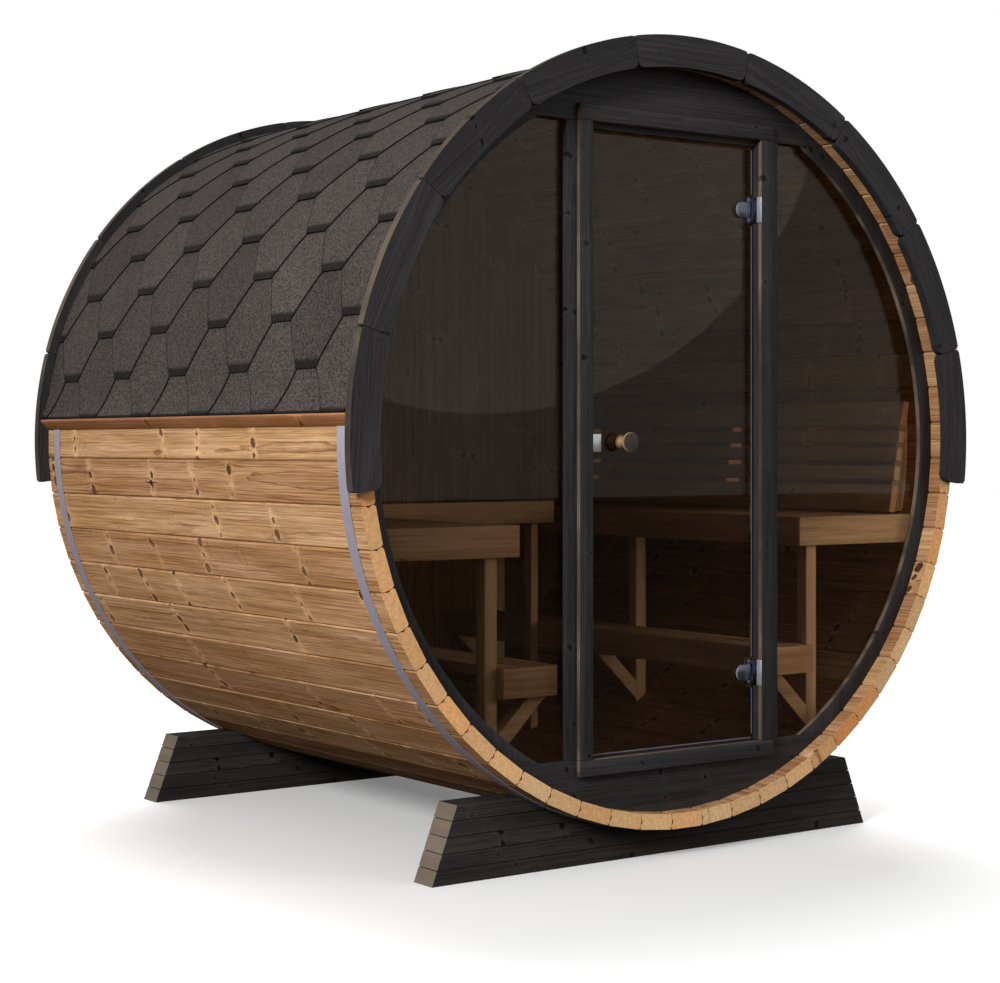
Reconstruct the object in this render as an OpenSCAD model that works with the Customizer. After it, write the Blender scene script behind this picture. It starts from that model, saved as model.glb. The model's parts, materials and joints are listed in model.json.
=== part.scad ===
// Barrel sauna: a horizontal stave cabin on two cradles, with a glass door and two glass panes in front.
// Front faces -Y, +Z is up, ground is z = 0. Depths along the barrel start at the front stave ends.

/* [Barrel] */
// Length of the staves, front to rear
barrel_len = 1770; // [1300:10:2600]
// Radius to the outer corners of the staves
barrel_r = 1030; // [1000:5:1240]
// Radial thickness of the staves
stave_t = 42; // [34:1:46]
// Joint gap between neighbouring staves
stave_gap = 0.4; // [0.2:0.1:1]
// Chamfer on the stave edges
stave_chamfer = 3.5; // [1:0.5:6]
// Radius of the rounded bead along each stave
bead_r = 8; // [5:0.5:10]

/* [Hoops] */
// Width of the steel hoops
hoop_w = 38; // [25:1:40]
// Thickness of the steel hoops
hoop_t = 1.6; // [1:0.1:1.8]
// Distance of each hoop from the stave ends
hoop_inset = 48; // [30:1:48]
// Angle of the tensioners below the level line, on the right
tension_a = 49; // [40:1:50]

/* [Roof] */
// Thickness of the roof covering
roof_t = 7; // [5:1:9]
// Outer radius of the arched roof trims, beyond the staves
trim_out = 33; // [26:1:40]
// Radial width of the arched roof trims
trim_w = 84; // [78:1:110]
// Thickness of the arched roof trims
trim_t = 26; // [18:1:34]
// Angle of the trim ends below the level line
trim_drop = 7; // [4:0.1:12]
// Number of pieces in each arched trim
trim_n = 9; // [7:1:11]
// Corner radius on the outer edge of each trim piece
trim_round_out = 8; // [4:1:16]
// Corner radius on the inner edge of each trim piece
trim_round_in = 18; // [8:1:26]
// Top of the eave battens above the barrel axis
eave_top = 62; // [50:1:66]
// Height of the eave battens
eave_h = 30; // [24:1:36]
// Overhang of the eave battens from the staves
eave_out = 26; // [18:1:27]

/* [Cradles] */
// Thickness of the cradles along the barrel
cradle_t = 82; // [60:1:100]
// Distance of each cradle from the stave ends
cradle_inset = 90; // [88:1:200]
// Half width of the cradles at the ground
cradle_half = 754; // [700:1:800]
// Half width of the cradles at the top
cradle_top_half = 676; // [640:1:690]
// Height of one board of the cradles
cradle_board = 39.6; // [36:0.1:44]

/* [Front wall] */
// Depth of the end walls inside the stave ends
wall_in = 43; // [38:1:60]
// Thickness of the end walls
wall_t = 28; // [26:1:32]
// Depth of the grooves in the staves that hold the end walls
croze = 10; // [6:1:14]
// Visible width of the ring round the panes
ring_w = 46; // [40:1:60]
// Half width from the door centre to the panes
pane_from = 370; // [360:1:400]
// Top of the door opening above the barrel axis
door_top = 806; // [780:1:810]
// Bottom of the door opening below the barrel axis
door_bottom = 826; // [800:1:840]
// Height of the stop board between the door opening and the header
head_stop = 16; // [14:1:24]
// Depth of the stop board behind the front of the wall
stop_in = 9; // [4:1:12]
// Half width of the door opening
door_half = 295; // [280:1:305]
// Width of the casing boards
casing_w = 43; // [36:1:50]
// Thickness of the casing boards
casing_t = 17; // [14:1:20]
// Thickness of the glass
glass_t = 8; // [6:1:8]
// Depth of the glass behind the front of the wall
glass_in = 18; // [8:1:19]
// Depth of the glass rebate round each pane
rebate = 10; // [6:1:14]

/* [Door] */
// Gap round the door glass
door_gap = 9; // [6:0.5:9]
// Distance of the hinge line from the opening
pivot_in = 16; // [16:0.5:18]
// Height of the upper hinge above the barrel axis
hinge_up = 631; // [500:1:680]
// Depth of the lower hinge below the barrel axis
hinge_down = 640; // [500:1:680]
// Radius of the hinge pins
pin_r = 3; // [2.5:0.1:3.5]
// Radial running clearance of the hinge pins
pin_fit = 0.06; // [0.03:0.01:0.1]
// Radius of the hinge knuckles
knuckle_r = 7; // [6.5:0.1:7]
// Height of the hinge clamps
clamp_h = 42; // [38:1:44]
// Length of the hinge clamps on the glass
clamp_len = 42; // [40:1:80]
// Thickness of each hinge clamp plate
clamp_t = 7; // [5:0.5:7]
// Thickness of the hinge plates on the jamb
plate_t = 4; // [3:0.5:4]
// Sideways place of the door knob, left of the centre
knob_x = 175; // [120:1:210]
// Height of the door knob below the barrel axis
knob_z = 7; // [0:1:100]
// Projection of the door knob from the glass
knob_len = 42; // [36:1:64]
// Radius of the knob face
knob_r = 26; // [22:1:32]
// Width of the catch plates
catch_w = 41; // [36:1:60]
// Height of the catch plates
catch_h = 46; // [30:1:60]
// Middle of the catch plates below the barrel axis
catch_z = 9; // [0:1:60]

/* [Benches] */
// Gap between the end walls and the benches
bench_in = 12; // [1:1:20]
// Height of the bench seats below the barrel axis
seat_z = 218; // [150:1:300]
// Inner edge of the bench seats from the centre
seat_from = 490; // [440:1:520]
// Height of the bench aprons
apron_h = 82; // [60:1:90]
// Thickness of the bench boards
board_t = 27; // [22:1:30]
// Number of slats in each seat
seat_n = 5; // [4:1:6]
// Gap between neighbouring slats
slat_gap = 5; // [4:0.5:8]
// Width of the bench posts
post_w = 40; // [35:1:45]
// Height of the footrests below the barrel axis
foot_z = 581; // [520:1:620]
// Inner edge of the footrests from the centre
foot_from = 371; // [340:1:400]
// Width of the footrests
foot_w = 171; // [160:1:180]
// Height of the footrest aprons
foot_h = 77; // [60:1:85]
// Thickness of the backrest slats
back_t = 24; // [18:1:26]
// Distance of the backrest foot from the staves
back_in = 101; // [90:1:110]
// Height of the guard rail boards
rail_h = 71; // [60:1:90]
// Distance of the guard rail from the front stave ends
rail_y = 1122; // [1000:1:1200]
// Half width of the guard rail
rail_half = 414; // [400:1:430]

/* [Hidden] */
$fn = 48;
fit = 0.1;
stave_a = 6;
half_a = stave_a / 2;
axis_h = barrel_r + 2 * cradle_board - 0.2;
front_y = -barrel_len / 2;
flat_r = barrel_r * cos(half_a);
inner_r = (flat_r - stave_t) / cos(half_a);
inner_flat = flat_r - stave_t;
mid_r = flat_r - stave_t / 2;
bead_in = bead_r / 2;
wall_back = wall_in + wall_t;
wall_r = inner_r + croze - 0.4;
head_z = door_top + head_stop;
pane_r = inner_r - ring_w;
trim_r = barrel_r + trim_out;
trim_a = (180 + 2 * trim_drop) / trim_n;
roof_in = barrel_r + 0.4;
roof_out = roof_in + roof_t;
casing_y = wall_in - casing_t;
glass_y = wall_in + glass_in;
glass_half = door_half - door_gap;
pivot_x = door_half - pivot_in;
pivot_y = glass_y + glass_t / 2;
knuckle_h = clamp_h / 2;
lug_h = 14;
notch_half = knuckle_h + lug_h + 5.5;
notch_x = pivot_x - knuckle_r - 6.5;
clamp_end = pivot_x - 7.5;
bay_front = wall_back + bench_in;
bay_rear = barrel_len - wall_back - bench_in;
bearers = [bay_front + board_t + fit, (barrel_len - post_w) / 2, bay_rear - board_t - post_w - fit];
post_from = foot_from + foot_w;
lean = 10.6;
knob_bolt_r = 5;
tension_out = 12;
tension_r = 4;
nut_r = 7;
nut_h = 6.4;
lug_gap = 11;
lug_len = 19;
lug_t = 3;
wall_boards = 17;
seat_clear = 7;
brace_a = 44;
rail_top = -193;
back_foot = -180;
back_x = inner_flat - back_in;
bench_r = inner_flat - 0.5;
big = 3000;

// Places a profile drawn in the plane across the barrel, from depth a to depth b.
module along(a, b) {
  translate([0, front_y + b, axis_h])
    rotate([90, 0, 0])
      linear_extrude(height = b - a)
        children();
}

// Large circle centred on the barrel axis.
module disc(r) {
  circle(r = r, $fn = 360);
}

// Mirrors a left piece when side is -1.
module side_of(side) {
  if (side < 0)
    mirror([1, 0, 0])
      children();
  else
    children();
}

// Rectangle between two corners in the plane across the barrel.
module rect(x1, z1, x2, z2) {
  translate([min(x1, x2), min(z1, z2)])
    square([abs(x2 - x1), abs(z2 - z1)]);
}

// Profile of one stave with a bead on one edge and a cove on the other.
module stave_profile() {
  ro = flat_r;
  ri = inner_flat;
  c = stave_chamfer;
  g = stave_gap / 2;
  t = tan(half_a);
  difference() {
    union() {
      polygon([
        [ri, -(ri * t - g - c)],
        [ri + c, -((ri + c) * t - g)],
        [ro - c, -((ro - c) * t - g)],
        [ro, -(ro * t - g - c)],
        [ro, ro * t - g - c],
        [ro - c, (ro - c) * t - g],
        [ri + c, (ri + c) * t - g],
        [ri, ri * t - g - c]]);
      translate([mid_r + bead_in * sin(half_a), mid_r * t - bead_in * cos(half_a)])
        circle(r = bead_r - stave_gap);
    }
    translate([mid_r - bead_in * sin(half_a), -mid_r * t - bead_in * cos(half_a)])
      circle(r = bead_r);
  }
}

// Staves number first to last, counted upwards from the right, grooved for the end walls.
module staves(first, last) {
  difference() {
    along(0, barrel_len)
      for (i = [first : last])
        rotate(i * stave_a)
          stave_profile();
    along(wall_in - 0.3, wall_back + 0.3)
      disc(inner_r + croze);
    along(barrel_len - wall_back - 0.3, barrel_len - wall_in + 0.3)
      disc(inner_r + croze);
  }
}

module staves_floor() {
  color("#b9854c")
    staves(40, 50);
}

module staves_right_low() {
  color("#c08c52")
    staves(51, 60);
}

module staves_right_high() {
  color("#c08c52")
    staves(1, 10);
}

module staves_top() {
  color("#b9854c")
    staves(11, 19);
}

module staves_left_high() {
  color("#c08c52")
    staves(20, 29);
}

module staves_left_low() {
  color("#c08c52")
    staves(30, 39);
}

// Steel band with a slot and two folded lugs for the tensioner.
module hoop(a, b) {
  difference() {
    union() {
      along(a, b)
        difference() {
          disc(barrel_r + 0.4 + hoop_t);
          disc(barrel_r + 0.4);
        }
      along(a + 4, b - 4)
        rotate(-tension_a)
          for (s = [-1, 1])
            translate([barrel_r + 0.8, s * lug_gap - lug_t / 2])
              square([lug_len, lug_t]);
    }
    along(a - 1, b + 1)
      rotate(-tension_a)
        translate([barrel_r - 5, -6])
          square([12, 12]);
    translate([0, front_y + (a + b) / 2, axis_h])
      rotate([0, tension_a, 0])
        translate([barrel_r + tension_out, 0, -2 * lug_gap])
          cylinder(r = tension_r + 0.2, h = 4 * lug_gap);
  }
}

module hoop_front() {
  color("#b8c0c8")
    hoop(hoop_inset, hoop_inset + hoop_w);
}

module hoop_rear() {
  color("#b8c0c8")
    hoop(barrel_len - hoop_inset - hoop_w, barrel_len - hoop_inset);
}

// Tensioner bolt with a six-sided head and nut.
module hoop_bolt(y) {
  translate([0, front_y + y, axis_h])
    rotate([0, tension_a, 0])
      translate([barrel_r + tension_out, 0, 0]) {
        cylinder(r = tension_r, h = 46, center = true);
        for (s = [-1, 1])
          translate([0, 0, s * (lug_gap + (lug_t + nut_h) / 2 + fit)])
            cylinder(r = nut_r, h = nut_h, center = true, $fn = 6);
      }
}

module hoop_bolts() {
  color("#8f969c") {
    hoop_bolt(hoop_inset + hoop_w / 2);
    hoop_bolt(barrel_len - hoop_inset - hoop_w / 2);
  }
}

// One half of the roof covering, with the eave edge lifted onto the batten.
module roof_half() {
  lift_a = 9;
  difference() {
    along(0.5, barrel_len - 0.5)
      union() {
        intersection() {
          difference() {
            disc(roof_out);
            disc(roof_in);
          }
          polygon([[0.3, 0], [big * cos(lift_a), big * sin(lift_a)], [big, big], [0.3, big]]);
        }
        polygon([
          [roof_in * cos(lift_a), roof_in * sin(lift_a)],
          [flat_r + eave_out - roof_t, eave_top + 0.4],
          [flat_r + eave_out, eave_top + 0.4],
          [roof_out * cos(lift_a), roof_out * sin(lift_a)]]);
      }
    for (y = [hoop_inset, barrel_len - hoop_inset - hoop_w])
      along(y - 0.6, y + hoop_w + 0.6)
        disc(barrel_r + 0.8 + hoop_t);
  }
}

module roof_cover_right() {
  color("#524c47")
    roof_half();
}

module roof_cover_left() {
  color("#524c47")
    mirror([1, 0, 0])
      roof_half();
}

// Tapered batten under the eave, notched over the hoops.
module eave_batten() {
  difference() {
    along(0.5, barrel_len - 0.5)
      polygon([
        [flat_r + 0.2, eave_top],
        [flat_r + 0.2, eave_top - eave_h],
        [flat_r + 4, eave_top - eave_h],
        [flat_r + eave_out, eave_top - 6],
        [flat_r + eave_out, eave_top]]);
    for (y = [hoop_inset, barrel_len - hoop_inset - hoop_w])
      along(y - 0.6, y + hoop_w + 0.6)
        disc(barrel_r + 0.8 + hoop_t);
  }
}

module eave_batten_right() {
  color("#82502d")
    eave_batten();
}

module eave_batten_left() {
  color("#82502d")
    mirror([1, 0, 0])
      eave_batten();
}

// Waste outside a rounded corner, beside an edge at height e, where the arc of radius r meets it.
module corner_waste(r, e, round_r, out) {
  over = 6;
  d = e - round_r;
  reach = out ? r - round_r : r + round_r;
  cx = sqrt(reach * reach - d * d);
  k = (out ? r + over : r - over) / reach;
  difference() {
    polygon([[cx, d], [cx * k, d * k], [out ? r + 1.5 * over : r - 1.5 * over, e + over], [cx, e + over]]);
    translate([cx, d])
      circle(r = round_r);
  }
}

// Arched trim made of curved pieces with rounded corners at their joints.
module roof_trim(a, b) {
  half = trim_a / 2;
  in_r = trim_r - trim_w;
  edge = -0.6;
  along(a, b)
    for (i = [0 : trim_n - 1])
      rotate(-trim_drop + (i + 0.5) * trim_a)
        difference() {
          intersection() {
            difference() {
              disc(trim_r);
              disc(in_r);
            }
            rotate(half)
              rect(0, edge, big, -big);
            rotate(-half)
              rect(0, -edge, big, big);
          }
          for (m = [0, 1])
            mirror([0, m])
              rotate(half) {
                corner_waste(trim_r, edge, trim_round_out, true);
                corner_waste(in_r, edge, trim_round_in, false);
              }
        }
}

module roof_trim_front() {
  color("#35383a")
    roof_trim(-trim_t, -0.2);
}

module roof_trim_rear() {
  color("#35383a")
    roof_trim(barrel_len + 0.2, barrel_len + trim_t);
}

// One cradle of stacked boards, hollowed to carry the barrel.
module cradle(y) {
  slope = (cradle_half - cradle_top_half) / (5 * cradle_board);
  c = 4;
  difference() {
    intersection() {
      for (i = [0 : 4])
        translate([-cradle_half - 10, front_y + y, i * cradle_board])
          rotate([90, 0, 90])
            linear_extrude(height = 2 * cradle_half + 20)
              polygon([
                [0, c], [c, 0], [cradle_t - c, 0], [cradle_t, c],
                [cradle_t, cradle_board - c], [cradle_t - c, cradle_board - 0.2],
                [c, cradle_board - 0.2], [0, cradle_board - c]]);
      translate([0, front_y + y + cradle_t + 1, 0])
        rotate([90, 0, 0])
          linear_extrude(height = cradle_t + 2)
            polygon([
              [-cradle_half, 0],
              [cradle_half, 0],
              [cradle_half - 6 * cradle_board * slope, 6 * cradle_board],
              [-cradle_half + 6 * cradle_board * slope, 6 * cradle_board]]);
    }
    along(y - 2, y + cradle_t + 2)
      disc(barrel_r + 0.3);
  }
}

module cradle_front() {
  color("#3c3b39")
    cradle(cradle_inset);
}

module cradle_rear() {
  color("#3c3b39")
    cradle(barrel_len - cradle_inset - cradle_t);
}

// Outline of one side pane opening, grown by the given margin.
module pane_shape(grow) {
  intersection() {
    disc(pane_r + grow);
    rect(pane_from - grow, -door_bottom - grow, big, head_z + grow);
  }
}

// Rebates that hold the glass of both side panes.
module pane_rebates() {
  for (s = [1, -1])
    side_of(s)
      along(glass_y, wall_back + 1)
        pane_shape(rebate);
}

module front_header() {
  color("#37393a") {
    difference() {
      along(wall_in, wall_back)
        intersection() {
          disc(wall_r);
          rect(-big, head_z, big, big);
        }
      pane_rebates();
    }
    along(wall_in + stop_in, wall_back)
      rect(-door_half, door_top, door_half, head_z + fit);
  }
}

module front_sill() {
  color("#37393a")
    difference() {
      along(wall_in, wall_back)
        intersection() {
          disc(wall_r);
          rect(-big, -big, big, -door_bottom);
        }
      pane_rebates();
    }
}

module front_ring() {
  difference() {
    along(wall_in, wall_back)
      difference() {
        intersection() {
          disc(wall_r);
          rect(pane_from, -door_bottom + fit, big, head_z - fit);
        }
        disc(pane_r);
      }
    pane_rebates();
  }
}

module front_ring_right() {
  color("#37393a")
    front_ring();
}

module front_ring_left() {
  color("#37393a")
    mirror([1, 0, 0])
      front_ring();
}

module front_jamb() {
  difference() {
    along(wall_in, wall_back)
      rect(door_half, -door_bottom + fit, pane_from, head_z - fit);
    pane_rebates();
  }
}

module front_jamb_right() {
  color("#37393a")
    front_jamb();
}

module front_jamb_left() {
  color("#37393a")
    mirror([1, 0, 0])
      front_jamb();
}

module casing_side() {
  along(casing_y, wall_in)
    rect(door_half, -door_bottom + fit, door_half + casing_w, head_z - fit);
}

module casing_right() {
  color("#37393a")
    casing_side();
}

module casing_left() {
  color("#37393a")
    mirror([1, 0, 0])
      casing_side();
}

module casing_top() {
  color("#37393a")
    along(casing_y, wall_in)
      rect(-door_half - casing_w, head_z, door_half + casing_w, head_z + casing_w);
}

module casing_bottom() {
  color("#37393a")
    along(casing_y, wall_in)
      rect(-door_half - casing_w, -door_bottom - casing_w, door_half + casing_w, -door_bottom);
}

// Fixed glass in its rebate.
module pane() {
  along(glass_y + fit, glass_y + glass_t)
    pane_shape(rebate - 1);
}

module pane_right() {
  color("#20282c")
    pane();
}

module pane_left() {
  color("#20282c")
    mirror([1, 0, 0])
      pane();
}

// Rear wall of upright boards between the staves.
module rear_wall() {
  w = 2 * wall_r / wall_boards;
  c = 4;
  color("#b08050")
    intersection() {
      along(barrel_len - wall_back, barrel_len - wall_in)
        disc(wall_r);
      for (i = [0 : wall_boards - 1])
        translate([-wall_r + i * w, front_y + barrel_len - wall_back, axis_h - big / 2])
          linear_extrude(height = big)
            polygon([
              [0.15, c], [c, 0], [w - c, 0], [w - 0.15, c],
              [w - 0.15, wall_t - c], [w - c, wall_t], [c, wall_t], [0.15, wall_t - c]]);
    }
}

// Lengthwise seat slats between the end aprons.
module seat_slats() {
  reach = sqrt(inner_flat * inner_flat - (seat_z + board_t) * (seat_z + board_t)) - 4;
  from = seat_from + board_t + slat_gap;
  step = (reach - from + slat_gap) / seat_n;
  along(bay_front + board_t + 2 * fit, bay_rear - board_t - 2 * fit)
    for (i = [0 : seat_n - 1])
      rect(from + i * step, -seat_z - board_t, from + (i + 1) * step - slat_gap, -seat_z);
}

// End apron of the bench with a sweeping lower edge that follows the barrel.
module bench_apron(a) {
  along(a, a + board_t)
    intersection() {
      disc(bench_r);
      rect(seat_from, -seat_z - apron_h, big, -seat_z);
    }
}

// Cross bearer that carries the seat slats.
module bench_bearer(a) {
  along(a, a + post_w)
    intersection() {
      disc(bench_r);
      rect(seat_from + board_t + fit, -seat_z - apron_h, big, -seat_z - board_t - fit);
    }
}

// Upright post from the bearer down to the staves.
module bench_post(a) {
  along(a, a + post_w)
    intersection() {
      disc(bench_r);
      rect(post_from, -seat_z - apron_h - fit, post_from + post_w, -big);
    }
}

module bench_frame() {
  bench_apron(bay_front);
  bench_apron(bay_rear - board_t);
  along(bay_front + board_t + fit, bay_rear - board_t - fit)
    rect(seat_from, -seat_z - apron_h, seat_from + board_t, -seat_z);
  for (y = bearers) {
    bench_bearer(y);
    bench_post(y);
  }
}

module bench_right_seat() {
  color("#b08a5c")
    seat_slats();
}

module bench_left_seat() {
  color("#b08a5c")
    mirror([1, 0, 0])
      seat_slats();
}

module bench_right_frame() {
  color("#a67f52")
    bench_frame();
}

module bench_left_frame() {
  color("#a67f52")
    mirror([1, 0, 0])
      bench_frame();
}

// Footrest: aprons, long edge board, slats, and braces that run down to the staves.
module footrest() {
  out = post_from - 2 * fit;
  low = -foot_z - foot_h;
  slat_w = (foot_w - board_t - slat_gap) / 2 - slat_gap;
  for (a = [bay_front, bay_rear - board_t])
    along(a, a + board_t)
      rect(foot_from, low, out, -foot_z);
  along(bay_front + board_t + fit, bay_rear - board_t - fit) {
    rect(foot_from, low, foot_from + board_t, -foot_z);
    for (i = [1, 2])
      rect(foot_from + board_t + i * slat_gap + (i - 1) * slat_w, -foot_z - board_t,
        foot_from + board_t + i * (slat_gap + slat_w), -foot_z);
  }
  for (a = bearers) {
    along(a, a + post_w)
      rect(foot_from + board_t + fit, low, out, -foot_z - board_t - fit);
    along(a, a + post_w)
      intersection() {
        disc(bench_r);
        rect(0, low - fit, post_from - fit, -big);
        translate([foot_from + board_t, low])
          rotate(-brace_a)
            rect(-10, 30, 430, -10);
      }
  }
}

module footrest_right() {
  color("#a67f52")
    footrest();
}

module footrest_left() {
  color("#a67f52")
    mirror([1, 0, 0])
      footrest();
}

// Leaning backrest slats, each with its top and bottom heights, on battens that follow the staves.
module backrest() {
  slats = [[116, 45], [28, -7], [-22, -60], [-76, -118], [-132, seat_clear - seat_z]];
  along(bay_front + board_t, bay_rear - board_t)
    translate([back_x, back_foot])
      rotate(-lean)
        for (s = slats)
          translate([0, (s[1] - back_foot) / cos(lean)])
            square([back_t, (s[0] - s[1]) / cos(lean)]);
  for (a = [bay_front + 2 * board_t, bearers[1], bay_rear - 2 * board_t - post_w])
    along(a, a + post_w)
      intersection() {
        disc(bench_r);
        translate([back_x, back_foot])
          rotate(-lean)
            rect(back_t + fit, -50, big, slats[0][0] - back_foot + 5);
        rect(0, seat_clear - seat_z, big, slats[0][0] + 10);
      }
}

module backrest_right() {
  color("#b08a5c")
    backrest();
}

module backrest_left() {
  color("#b08a5c")
    mirror([1, 0, 0])
      backrest();
}

// Waist-high rail round the rear of the aisle, on two posts.
module guard_rail() {
  color("#a67f52") {
    along(rail_y, rail_y + board_t)
      rect(-rail_half, rail_top - rail_h, rail_half, rail_top);
    for (s = [1, -1])
      side_of(s) {
        along(rail_y + board_t + fit, barrel_len - wall_back - 1)
          rect(rail_half - board_t, rail_top - rail_h, rail_half, rail_top);
        along(rail_y + board_t + fit, rail_y + board_t + post_w)
          intersection() {
            disc(bench_r);
            rect(foot_from - 2 * fit, rail_top - rail_h - fit, foot_from - board_t - 2, -big);
          }
      }
  }
}

// Wall half of one hinge: plate, two lugs and the fixed pin.
module hinge_bracket(z) {
  translate([0, front_y, axis_h + z]) {
    translate([door_half - plate_t, casing_y + 1, -knuckle_h - lug_h])
      cube([plate_t, wall_back - casing_y - 2, 2 * (knuckle_h + lug_h)]);
    translate([door_half - 2 * plate_t, pivot_y - knuckle_r, -knuckle_h - lug_h])
      cube([2 * plate_t, 2 * knuckle_r, 2 * (knuckle_h + lug_h)]);
    for (s = [0, 1])
      mirror([0, 0, s]) {
        translate([pivot_x, pivot_y, knuckle_h + 0.5])
          cylinder(r = knuckle_r, h = lug_h - 0.5);
        translate([pivot_x, pivot_y - knuckle_r, knuckle_h + 0.5])
          cube([pivot_in - plate_t + fit, 2 * knuckle_r, lug_h - 0.5]);
      }
    translate([pivot_x, pivot_y, -knuckle_h - 1])
      cylinder(r = pin_r, h = clamp_h + 2);
  }
}

module hinge_brackets() {
  color("#c8ccd0") {
    hinge_bracket(hinge_up);
    hinge_bracket(-hinge_down);
  }
}

// Door half of one hinge: two rounded plates over the glass, joined to a knuckle.
module hinge_clamp(z) {
  translate([0, front_y, axis_h + z])
    difference() {
      union() {
        for (s = [-1, 1])
          translate([0, pivot_y + s * (glass_t / 2 + clamp_t / 2 + fit / 2), 0])
            rotate([90, 0, 0])
              linear_extrude(height = clamp_t - fit, center = true)
                union() {
                  translate([clamp_end - clamp_len + clamp_h / 2, -clamp_h / 2])
                    square([clamp_len - clamp_h / 2, clamp_h]);
                  translate([clamp_end - clamp_len + clamp_h / 2, 0])
                    circle(r = clamp_h / 2);
                }
        translate([notch_x + 0.4, pivot_y - glass_t / 2 - clamp_t, -clamp_h / 2])
          cube([clamp_end - notch_x - 0.4, glass_t + 2 * clamp_t, clamp_h]);
        translate([pivot_x, pivot_y, -clamp_h / 2])
          cylinder(r = knuckle_r, h = clamp_h);
        translate([pivot_x - 8, pivot_y - 5, -clamp_h / 2])
          cube([8, 10, clamp_h]);
      }
      translate([pivot_x, pivot_y, -clamp_h])
        cylinder(r = pin_r + pin_fit, h = 2 * clamp_h);
    }
}

module hinge_clamps() {
  color("#c8ccd0") {
    hinge_clamp(hinge_up);
    hinge_clamp(-hinge_down);
  }
}

// Door glass, notched for the hinges and drilled for the knob and catch.
module door_glass() {
  color("#20282c")
    difference() {
      along(glass_y, glass_y + glass_t)
        difference() {
          rect(-glass_half, -door_bottom + door_gap - 1, glass_half, door_top - door_gap + 1);
          for (z = [hinge_up, -hinge_down])
            rect(notch_x, z - notch_half, big, z + notch_half);
        }
      translate([-knob_x, front_y + glass_y - 5, axis_h - knob_z])
        rotate([-90, 0, 0])
          cylinder(r = knob_bolt_r + 0.3, h = 20);
    }
}

// Flared wooden knob on one side of the glass.
module knob(side) {
  rotate([side * 90, 0, 0])
    rotate_extrude()
      polygon([
        [0, 0.05], [19, 0.05], [19, 2.5], [15, 3], [14.5, 10], [14.5, knob_len * 0.5],
        [knob_r * 0.7, knob_len * 0.72], [knob_r * 0.92, knob_len - 9], [knob_r, knob_len - 5],
        [knob_r, knob_len - 2], [knob_r - 2, knob_len], [0, knob_len]]);
}

module door_knob_outer() {
  color("#8a5e38") {
    translate([-knob_x, front_y + glass_y, axis_h - knob_z])
      knob(1);
    translate([-knob_x, front_y + glass_y - fit, axis_h - knob_z])
      rotate([-90, 0, 0])
        cylinder(r = knob_bolt_r, h = glass_t + fit);
  }
}

module door_knob_inner() {
  color("#8a5e38")
    translate([-knob_x, front_y + glass_y + glass_t, axis_h - knob_z])
      knob(-1);
}

// Catch plates on both faces of the glass at its closing edge.
module catch_plate() {
  color("#c8ccd0")
    for (y = [glass_y - plate_t - fit, glass_y + glass_t + fit])
      along(y, y + plate_t)
        rect(-glass_half + 0.5, catch_h / 2 - catch_z, -glass_half + catch_w, -catch_h / 2 - catch_z);
}

// Keeper plate on the jamb, level with the catch.
module catch_keeper() {
  color("#c8ccd0")
    along(glass_y - 6, glass_y + glass_t + 6)
      rect(-door_half, catch_h / 2 - catch_z + 5, -door_half + 1.8, -catch_h / 2 - catch_z - 5);
}

staves_floor();
staves_right_low();
staves_right_high();
staves_top();
staves_left_high();
staves_left_low();
hoop_front();
hoop_rear();
hoop_bolts();
roof_cover_left();
roof_cover_right();
eave_batten_left();
eave_batten_right();
roof_trim_front();
roof_trim_rear();
cradle_front();
cradle_rear();
front_header();
front_sill();
front_ring_left();
front_ring_right();
front_jamb_left();
front_jamb_right();
casing_left();
casing_right();
casing_top();
casing_bottom();
pane_left();
pane_right();
rear_wall();
bench_left_seat();
bench_right_seat();
bench_left_frame();
bench_right_frame();
footrest_left();
footrest_right();
backrest_left();
backrest_right();
guard_rail();
hinge_brackets();
catch_keeper();
door_glass();
hinge_clamps();
door_knob_outer();
door_knob_inner();
catch_plate();
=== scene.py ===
"""Looks of a barrel sauna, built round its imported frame."""
import json
import math
import random
from contextlib import contextmanager

import bmesh
import bpy
from bpy.props import FloatProperty, FloatVectorProperty, IntProperty, PointerProperty
from mathutils import Matrix, Vector

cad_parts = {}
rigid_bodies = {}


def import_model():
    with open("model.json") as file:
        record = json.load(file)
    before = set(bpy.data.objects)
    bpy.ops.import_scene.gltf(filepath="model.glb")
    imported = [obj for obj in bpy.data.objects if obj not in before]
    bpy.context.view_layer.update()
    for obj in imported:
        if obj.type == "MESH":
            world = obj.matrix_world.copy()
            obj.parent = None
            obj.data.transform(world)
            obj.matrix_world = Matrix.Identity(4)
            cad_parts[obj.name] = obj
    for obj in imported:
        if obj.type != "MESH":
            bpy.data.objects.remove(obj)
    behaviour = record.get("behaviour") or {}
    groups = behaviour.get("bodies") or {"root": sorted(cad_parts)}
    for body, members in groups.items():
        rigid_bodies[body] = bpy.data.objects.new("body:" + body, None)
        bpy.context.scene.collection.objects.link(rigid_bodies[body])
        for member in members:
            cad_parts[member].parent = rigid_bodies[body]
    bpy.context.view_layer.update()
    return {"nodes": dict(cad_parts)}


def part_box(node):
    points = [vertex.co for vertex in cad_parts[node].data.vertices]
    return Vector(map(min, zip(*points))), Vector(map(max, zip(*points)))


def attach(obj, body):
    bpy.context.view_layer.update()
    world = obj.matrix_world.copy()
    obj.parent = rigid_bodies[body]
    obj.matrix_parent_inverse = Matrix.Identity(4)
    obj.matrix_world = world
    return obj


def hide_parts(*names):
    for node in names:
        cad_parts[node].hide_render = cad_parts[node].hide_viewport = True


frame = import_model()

bl_info = {
    "name": "Barrel sauna",
    "version": (1, 0, 0),
    "blender": (4, 5, 0),
    "location": "3D View > Sidebar > Sauna",
    "description": "Builds the staves, roof, front, benches and fittings of a barrel sauna",
    "category": "Object",
}

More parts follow.
